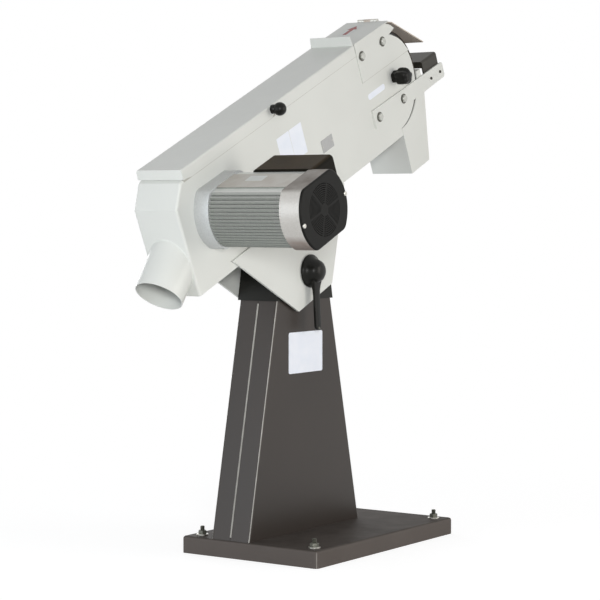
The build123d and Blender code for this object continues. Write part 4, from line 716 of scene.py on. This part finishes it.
def hex_head(radius, height, chamfer):
    """A hexagon head with its top corners turned off, standing on Z = 0, sizes in mm."""
    bm = bmesh.new()
    bmesh.ops.create_circle(bm, segments=HEX_POINTS, radius=radius * MM, cap_ends=True)
    for vert in bm.verts:
        turn = math.atan2(vert.co.y, vert.co.x) % HEX_SIDE - HEX_SIDE / 2
        vert.co *= math.cos(HEX_SIDE / 2) / math.cos(turn)
    pull(bm, height - chamfer)
    for vert in pull(bm, chamfer):
        vert.co.xy = vert.co.xy.normalized() * radius * MM * TURNED_SHARE
    return bm


def washer(radius, bore, height):
    """A flat ring with its top rim broken, standing on Z = 0, sizes in mm."""
    edge = height / 4
    return turned([(bore, 0), (radius, 0), (radius, height - edge), (radius - edge, height),
                   (bore, height), (bore, 0)])


# %% [markdown]
# ## Guard bolts
# Eight hexagon bolts on washers hold the upper guard and the lower brackets, four on each side. No two
# neighbouring heads of a real machine stop at the same angle, so each place gets a turn of its own.

# %% Guard bolts
HOOD_FACE, BRACKET_FACE = 58.0, 59.5
GUARD_BOLTS = ((632, 98, HOOD_FACE, 8), (727, 98, HOOD_FACE, 31),
               (645, -55.5, BRACKET_FACE, 17), (759, -55.5, BRACKET_FACE, 44))
GUARD_WASHER, GUARD_WASHER_RADIUS = 1.5, 11.5
HEAD_RADIUS, HEAD_HEIGHT, HEAD_CHAMFER = 9.0, 4.0, 1.6
WASHER_BORE = 5.05
heads, rings = bmesh.new(), bmesh.new()
for u, w, seat, turn in GUARD_BOLTS:
    for side, facing in ((-1, OUT_NEAR), (1, OUT_FAR)):
        spot = ARM @ at_mm(u, side * seat, w) @ facing
        gather(rings, washer(GUARD_WASHER_RADIUS, WASHER_BORE, GUARD_WASHER), spot)
        head = hex_head(HEAD_RADIUS, HEAD_HEIGHT, HEAD_CHAMFER)
        gather(heads, head, spot @ at_mm(0, 0, GUARD_WASHER) @ twist(turn))
put("guard_bolt_heads", heads, bolt_steel, "arm", ["guard_bolts_and_washers"])
put("guard_bolt_washers", rings, washer_steel, "arm")

# %% [markdown]
# ## Anchor studs
# Each corner of the base has a threaded stud with a nut and a washer. The thread is drawn as rings with a
# 1.5 mm pitch. At this size nobody could tell them from a helix, and they keep the mesh closed.

# %% Anchor studs, nuts and washers
ANCHOR_X, ANCHOR_Y = 243, 147
ANCHORS = ((-1, -1, 12), (-1, 1, 40), (1, -1, 25), (1, 1, 3))
ANCHOR_WASHER, ANCHOR_WASHER_RADIUS = 2.5, 13
NUT_RADIUS, NUT_HEIGHT, NUT_CHAMFER = 9.8, 8.0, 1.2
SHANK_RADIUS, POINT_RADIUS, POINT_HEIGHT = 4.6, 3.4, 0.4
THREAD_PITCH, THREAD_ROOT, THREAD_CREST, CREST_AT = 1.5, 4.2, 5.0, 0.6
stud_low, stud_high = (corner.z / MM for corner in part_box("anchor_studs"))
thread = [(0, stud_low), (SHANK_RADIUS, stud_low), (SHANK_RADIUS, BASE_TOP - 1)]
for step in range(int((stud_high - BASE_TOP) / THREAD_PITCH)):
    foot = BASE_TOP + step * THREAD_PITCH
    thread += [(THREAD_ROOT, foot), (THREAD_CREST, foot + CREST_AT * THREAD_PITCH)]
thread += [(THREAD_ROOT, stud_high - POINT_HEIGHT), (POINT_RADIUS, stud_high), (0, stud_high)]
studs, nuts, plates = bmesh.new(), bmesh.new(), bmesh.new()
for x, y, turn in ANCHORS:
    spot = at_mm(x * ANCHOR_X, y * ANCHOR_Y, 0)
    gather(studs, turned(thread, steps=24), spot)
    gather(plates, washer(ANCHOR_WASHER_RADIUS, WASHER_BORE, ANCHOR_WASHER), spot @ at_mm(0, 0, BASE_TOP))
    nut = hex_head(NUT_RADIUS, NUT_HEIGHT, NUT_CHAMFER)
    gather(nuts, nut, spot @ at_mm(0, 0, BASE_TOP + ANCHOR_WASHER) @ twist(turn))
put("anchor_stud_threads", studs, stud_steel, "stand", ["anchor_studs"])
put("anchor_nuts", nuts, stud_steel, "stand", ["anchor_nuts_and_washers"])
put("anchor_washers", plates, zinc, "stand")

# %% [markdown]
# ## Clamp hub
# The clamp holds the arm at its tilt: a flat disc against the cheek, a hub that narrows to a dome, and a
# bar that hangs from it like a ladle's handle. The disc and the hub are turned in one profile.

# %% Clamp hub
CLAMP_SEAT = -10.8
CLAMP = at_mm(PIVOT_X, CLAMP_SEAT, PIVOT_Z) @ OUT_NEAR
HUB_PROFILE = ((0, 20.8), (10.06, 20.8), (10.06, 0), (34.5, 0), (36.5, 1.5), (36.5, 4.2), (35.2, 6.4),
               (31.8, 9), (28.8, 12.5), (26.6, 17), (24.6, 22), (21.4, 27.4), (16.6, 31.4), (9.6, 33.5),
               (0, 34))
hub = turned(HUB_PROFILE, steps=64)
put("clamp_hub_dome", hub, knob_black, "clamp", ["clamp_hub"], CLAMP)

# %% [markdown]
# ## Clamp lever
# The bar starts as a round face whose far half is pulled out to its length. It is thickened, cut across
# where it has to swell towards the hub, and its rims are rounded over. A small rivet sits near its end.

# %% Clamp lever
LEVER_LENGTH, LEVER_WIDTH, LEVER_THICK = 127, 19.0, 7.0
LEVER_DROP, LEVER_SEAT = 12, 15
LEVER_SPLAY = math.radians(-3.2)
SWELL_CUTS = (6, 12, 20, 30, 42)
SWELL_REACH, SWELL_WIDER, SWELL_THICKER = 42, 1.1, 1.3
RIM_ANGLE = math.radians(60)
RIM_ROUND = 1.6
CUT_REACH = 1e-7
RIVET_DROP = 113
RIVET_PROFILE = ((0, -1), (3.0, -1), (3.0, 0.4), (2.4, 1.1), (1.2, 1.5), (0, 1.6))
half_thick = LEVER_THICK / 2 * MM
bar = bmesh.new()
bmesh.ops.create_circle(bar, segments=32, radius=LEVER_WIDTH / 2 * MM, cap_ends=True)
lower = [vert for vert in bar.verts if vert.co.y < MERGE]
bmesh.ops.translate(bar, vec=(0, (LEVER_WIDTH - LEVER_LENGTH) * MM, 0), verts=lower)
pull(bar, LEVER_THICK)
for cut in SWELL_CUTS:
    bmesh.ops.bisect_plane(bar, geom=bar.verts[:] + bar.edges[:] + bar.faces[:],
                           plane_co=(0, -cut * MM, 0), plane_no=(0, 1, 0), dist=CUT_REACH)
for vert in bar.verts:
    swell = max(0.0, 1 + vert.co.y / (SWELL_REACH * MM)) ** 2
    vert.co.x *= 1 + SWELL_WIDER * swell
    vert.co.z = (vert.co.z - half_thick) * (1 + SWELL_THICKER * swell) + half_thick
rims = [edge for edge in bar.edges if len(edge.link_faces) == 2 and edge.calc_face_angle() > RIM_ANGLE]
bmesh.ops.bevel(bar, geom=rims, offset=RIM_ROUND * MM, segments=3, profile=0.5, affect="EDGES", material=-1)
hang = CLAMP @ at_mm(0, -LEVER_DROP, LEVER_SEAT)
LEVER = hang @ Matrix.Rotation(LEVER_SPLAY, 4, "X") @ at_mm(0, 0, -LEVER_THICK / 2)
put("clamp_lever_bar", bar, knob_black, "clamp", ["clamp_lever"], LEVER)
rivet = turned(RIVET_PROFILE, steps=24)
put("clamp_lever_rivet", rivet, washer_steel, "clamp",
    place=LEVER @ at_mm(0, -RIVET_DROP, LEVER_THICK))

# %% [markdown]
# ## Tracking knob
# A star knob with five soft lobes and a domed face. A circle is extruded ring by ring; each ring has its
# own height, radius and depth of lobe, so the neck stays nearly round and the grip swells into the lobes.

# %% Tracking knob
LOBES, STAR_POINTS = 5, 80
FIRST_LOBE = math.radians(215)
RINGS = ((0, 15, 2), (9, 15.4, 2.4), (11.5, 17, 3.2), (14, 19.6, 4), (18, 20.8, 4.6), (25, 21, 4.6),
         (32, 20.4, 4.4), (37, 18.4, 3.8), (40.5, 15.2, 2.6), (42.4, 10.6, 1.4), (43, 5, 0.3))
TRACKING_KNOB = ARM @ at_mm(746.3, -55.8, 4) @ OUT_NEAR
grip = bmesh.new()
bmesh.ops.create_circle(grip, segments=STAR_POINTS, radius=MM, cap_ends=True)
for rise, radius, lobe in RINGS:
    ring = pull(grip, rise) if rise else grip.verts[:]
    for vert in ring:
        turn = math.atan2(vert.co.y, vert.co.x)
        hollow = (1 - math.cos(LOBES * (turn - FIRST_LOBE))) / 2
        vert.co = Vector((math.cos(turn), math.sin(turn), 0)) * (radius - lobe * hollow) * MM
        vert.co.z = rise * MM
put("tracking_knob_star", grip, knob_black, "tracking_knob", ["tracking_knob"],
    TRACKING_KNOB)

# %% [markdown]
# ## Cover knob
# The cover is held shut by a ball knob on a stud. The stud, a collar, a waist and the ball are turned in
# one profile.

# %% Cover knob
KNOB_FACE = 58.5
KNOB_STUD = [(0, -5.7), (4, -5.7), (4, 0)]
KNOB_COLLAR = [(10, 0), (10, 7.6), (9, 9), (7.6, 10.5), (7.3, 12)]
BALL_RADIUS, BALL_RISE = 14.5, 19
ball = []
for degrees in range(-24, 90, 8):
    angle = math.radians(degrees)
    ball.append((BALL_RADIUS * math.cos(angle), BALL_RISE + BALL_RADIUS * math.sin(angle)))
knob = turned(KNOB_STUD + KNOB_COLLAR + ball + [(0, BALL_RISE + BALL_RADIUS)])
knob_low, knob_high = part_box("cover_knob")
knob_axis = (knob_low + knob_high) / 2 / MM
put("cover_knob_ball", knob, knob_black, "cover_knob", ["cover_knob"],
    at_mm(knob_axis.x, ARM_MIDDLE - KNOB_FACE, knob_axis.z) @ OUT_NEAR)

# %% [markdown]
# ## Extraction spigot
# The tube's hose end is one millimetre slimmer in radius than its root. On the real tube that shows as a
# slight taper under the paint, not as a step, so the tube is turned from a tapered profile. Its foot is
# then sheared onto the slanted panel.

# %% Extraction spigot
SPIGOT_TURN = math.radians(-121.7)
SPIGOT = ARM @ at_mm(-130, 0, -71) @ Matrix.Rotation(SPIGOT_TURN, 4, "Y")
SPIGOT_BORE, SPIGOT_MOUTH, SPIGOT_ROOT, SPIGOT_REACH = 49, 51, 52, 70
SPIGOT_SUNK, SPIGOT_LIP = 3, 0.5


def shear_foot(vert):
    """Slide a point along the spigot's axis, from a square cut to the slant of the panel."""
    vert.co.z -= vert.co.x / math.tan(SPIGOT_TURN)


tube = turned([(SPIGOT_BORE, -SPIGOT_SUNK), (SPIGOT_ROOT, -SPIGOT_SUNK),
               (SPIGOT_MOUTH, SPIGOT_REACH - SPIGOT_LIP), (SPIGOT_MOUTH - SPIGOT_LIP, SPIGOT_REACH),
               (SPIGOT_BORE + SPIGOT_LIP, SPIGOT_REACH), (SPIGOT_BORE, SPIGOT_REACH - SPIGOT_LIP),
               (SPIGOT_BORE, -SPIGOT_SUNK)], steps=96)
for vert in tube.verts:
    if vert.co.z < 0:
        shear_foot(vert)
put("spigot_tube", tube, grey_white, "arm", ["extraction_spigot"], SPIGOT)

# %% [markdown]
# ## Weld beads
# The spigot is welded into the tail panel and the column's halves are welded along their seam. A
# hand-laid bead is a small rounded ridge with ripples, a few millimetres apart. The spigot's bead is a
# small circle spun round the tube and sheared onto the slanted panel. Each of the column's two beads is a
# small circle extruded step by step.

# %% Spigot's weld bead
BEAD_RADIUS, BEAD_POINTS, BEAD_STEPS = 1.3, 10, 144
BEAD_RIPPLES, BEAD_RIPPLE = 48, 0.14
bead = bmesh.new()
bmesh.ops.create_circle(bead, segments=BEAD_POINTS, radius=BEAD_RADIUS * MM,
                        matrix=at_mm(SPIGOT_ROOT, 0, 0) @ OUT_NEAR)
bmesh.ops.spin(bead, geom=bead.verts[:] + bead.edges[:], axis=(0, 0, 1), cent=(0, 0, 0), steps=BEAD_STEPS,
               angle=FULL_TURN, use_merge=True)
bmesh.ops.remove_doubles(bead, verts=bead.verts, dist=MERGE)
for vert in bead.verts:
    turn = math.atan2(vert.co.y, vert.co.x)
    core = Vector((math.cos(turn), math.sin(turn), 0)) * SPIGOT_ROOT * MM
    vert.co = core + (vert.co - core) * (1 + BEAD_RIPPLE * math.sin(turn * BEAD_RIPPLES))
    shear_foot(vert)
put("spigot_weld_bead", bead, grey_white, "arm", place=SPIGOT)

# %% Column's weld beads
# The beads' pale paint is a painted highlight along each seam.
SEAM_LOW, SEAM_HIGH, SEAM_STEPS = 44, 540, 100
SEAM_RADIUS, SEAM_POINTS, SEAM_SUNK = 2.3, 20, 1.1
SEAM_RIPPLE, SEAM_WAVE = 0.06, 1.1
for name, end in (("column_seam_bead_back", COLUMN_BACK), ("column_seam_bead_front", COLUMN_FRONT)):
    seam = bmesh.new()
    bmesh.ops.create_circle(seam, segments=SEAM_POINTS, radius=SEAM_RADIUS * MM, cap_ends=True)
    for step in range(SEAM_STEPS):
        pull(seam, (SEAM_HIGH - SEAM_LOW) / SEAM_STEPS)
    lean = lean_of(end)
    for vert in seam.verts:
        vert.co.xy *= 1 + SEAM_RIPPLE * math.sin(vert.co.z / MM * SEAM_WAVE)
        vert.co.x += lean * vert.co.z
    middle = end[0] + math.copysign(SEAM_SUNK, -end[0]) + lean * (SEAM_LOW - BASE_TOP)
    put(name, seam, seam_highlight_paint, "stand", place=at_mm(middle, ARM_MIDDLE, SEAM_LOW))

# %% [markdown]
# ## Tension springs
# Two coil springs push the wheel's axle forward and keep the belt tight. When the axle slides back, the
# springs shorten. A spring is a small disc spun and lifted at the same time.

# %% Tension springs
SPRING_RADIUS, SPRING_WIRE, SPRING_TURNS = 9.0, 1.25, 5
SPRING_GAP = 1.0
WIRE_POINTS, STEPS_A_TURN = 10, 24


def arm_box(name):
    """Lowest and highest corner of a solid in the arm's own frame, in mm."""
    points = [ARM.inverted() @ vert.co / MM for vert in nodes[name].data.vertices]
    return [Vector([pick(point[axis] for point in points) for axis in range(3)]) for pick in (min, max)]


low, high = arm_box("tension_springs")
middle = (low + high) / 2
steps = SPRING_TURNS * STEPS_A_TURN
rise = (high.x - low.x - 2 * SPRING_WIRE - SPRING_GAP) / steps
along = Matrix.Rotation(math.radians(90), 4, "Y")
coils = bmesh.new()
for side in (-1, 1):
    coil = bmesh.new()
    bmesh.ops.create_circle(coil, segments=WIRE_POINTS, radius=SPRING_WIRE * MM, cap_ends=True,
                            matrix=at_mm(SPRING_RADIUS, 0, 0) @ OUT_NEAR)
    bmesh.ops.spin(coil, geom=coil.verts[:] + coil.edges[:] + coil.faces[:], axis=(0, 0, 1), cent=(0, 0, 0),
                   dvec=(0, 0, rise * MM), steps=steps, angle=SPRING_TURNS * FULL_TURN)
    across = side * (high.y - SPRING_RADIUS - SPRING_WIRE)
    gather(coils, coil, ARM @ at_mm(low.x + SPRING_WIRE, across, middle.z) @ along)
springs = put("tension_spring_coils", coils, ground_steel, "arm", ["tension_springs"])
seat = ARM @ (Vector((low.x, 0, middle.z)) * MM)
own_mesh(springs)

# %% [markdown]
# ## Belt
# On the machine, the front of the belt follows the wheel when its axle slides back. Here the belt is a
# copy of its solid with the loose triangles merged, and it rides on no body.

# %% Belt
loop = bmesh.new()
loop.from_mesh(nodes["sanding_belt"].data)
bmesh.ops.remove_doubles(loop, verts=loop.verts, dist=MERGE)
belt = put("belt_loop", loop, grit, None, ["sanding_belt"])
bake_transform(belt)

# %% [markdown]
# ## Blank plates and films
# The machine carries a metal plate, some films and an arrow for the belt's direction. All but the arrow
# are bare. A plate or a film is a thin sheet with rounded corners: one face, its corners bevelled, then
# extruded by its thickness.

# %% Plates and films
NEAR_FACE = 55.5
FILM = 0.25
FILMS = ((272, 18, 49, 70, 2), (322.5, 18, 49, 70, 2), (661, 0, 76, 14, 6.5))
PLATE_U, PLATE_W, PLATE_THICK = 425.5, -30.5, 0.6
PLATE_RIVETS = 20.5
PIN_PROFILE = ((0, 0), (1.6, 0), (1.4, 0.7), (0.7, 1.1), (0, 1.2))
RATING_PLATE = (47, 29, PLATE_THICK, 1.5)
MOTOR_PLATE = (25, 42, 0.4, 2)
MOTOR_PLATE_PLACE = ARM @ at_mm(10, -163, 64.5)


def thin_plate(width, height, thick, corner):
    """A flat plate with rounded corners on Z = 0, sizes in mm."""
    bm = bmesh.new()
    bmesh.ops.create_grid(bm, x_segments=1, y_segments=1, size=0.5)
    bmesh.ops.scale(bm, vec=(width * MM, height * MM, 1), verts=bm.verts)
    bmesh.ops.bevel(bm, geom=bm.verts[:], offset=corner * MM, segments=5, profile=0.5, affect="VERTICES",
                    material=-1)
    pull(bm, thick)
    return bm


def on_near_plate(u, w):
    """A place on the outside of the near side plate, facing out."""
    return ARM @ at_mm(u, -NEAR_FACE, w) @ OUT_NEAR


put("blank_rating_plate", thin_plate(*RATING_PLATE), ground_steel, "arm",
    place=on_near_plate(PLATE_U, PLATE_W))
rivets = bmesh.new()
for side in (-1, 1):
    spot = on_near_plate(PLATE_U + side * PLATE_RIVETS, PLATE_W) @ at_mm(0, 0, PLATE_THICK)
    gather(rivets, turned(PIN_PROFILE, steps=16), spot)
put("rating_plate_rivets", rivets, zinc, "arm")
for number, (u, w, width, height, corner) in enumerate(FILMS, 1):
    film = thin_plate(width, height, FILM, corner)
    put(f"blank_film_{number}", film, label_film, "arm", place=on_near_plate(u, w))
put("motor_blank_plate", thin_plate(*MOTOR_PLATE), worn_film, "arm", place=MOTOR_PLATE_PLACE)

# %% [markdown]
# ## Belt arrow
# A red arrow on the guard's flat top shows which way the belt runs. Seven points make its outline, and
# the pale field under it is one of the thin plates.

# %% Belt arrow
ARROW_PLACE = ARM @ at_mm(712, 11, 133.5)
ARROW_FIELD = (72, 34, FILM, 2)
ARROW = ((-29, -5), (6, -5), (6, -13), (29, 0), (6, 13), (6, 5), (-29, 5))
put("arrow_field", thin_plate(*ARROW_FIELD), worn_film, "arm", place=ARROW_PLACE)
arrow = bmesh.new()
arrow.faces.new([arrow.verts.new((x * MM, y * MM, 0)) for x, y in ARROW])
pull(arrow, FILM)
put("belt_direction_arrow", arrow, arrow_red, "arm", place=ARROW_PLACE @ at_mm(0, 0, FILM))
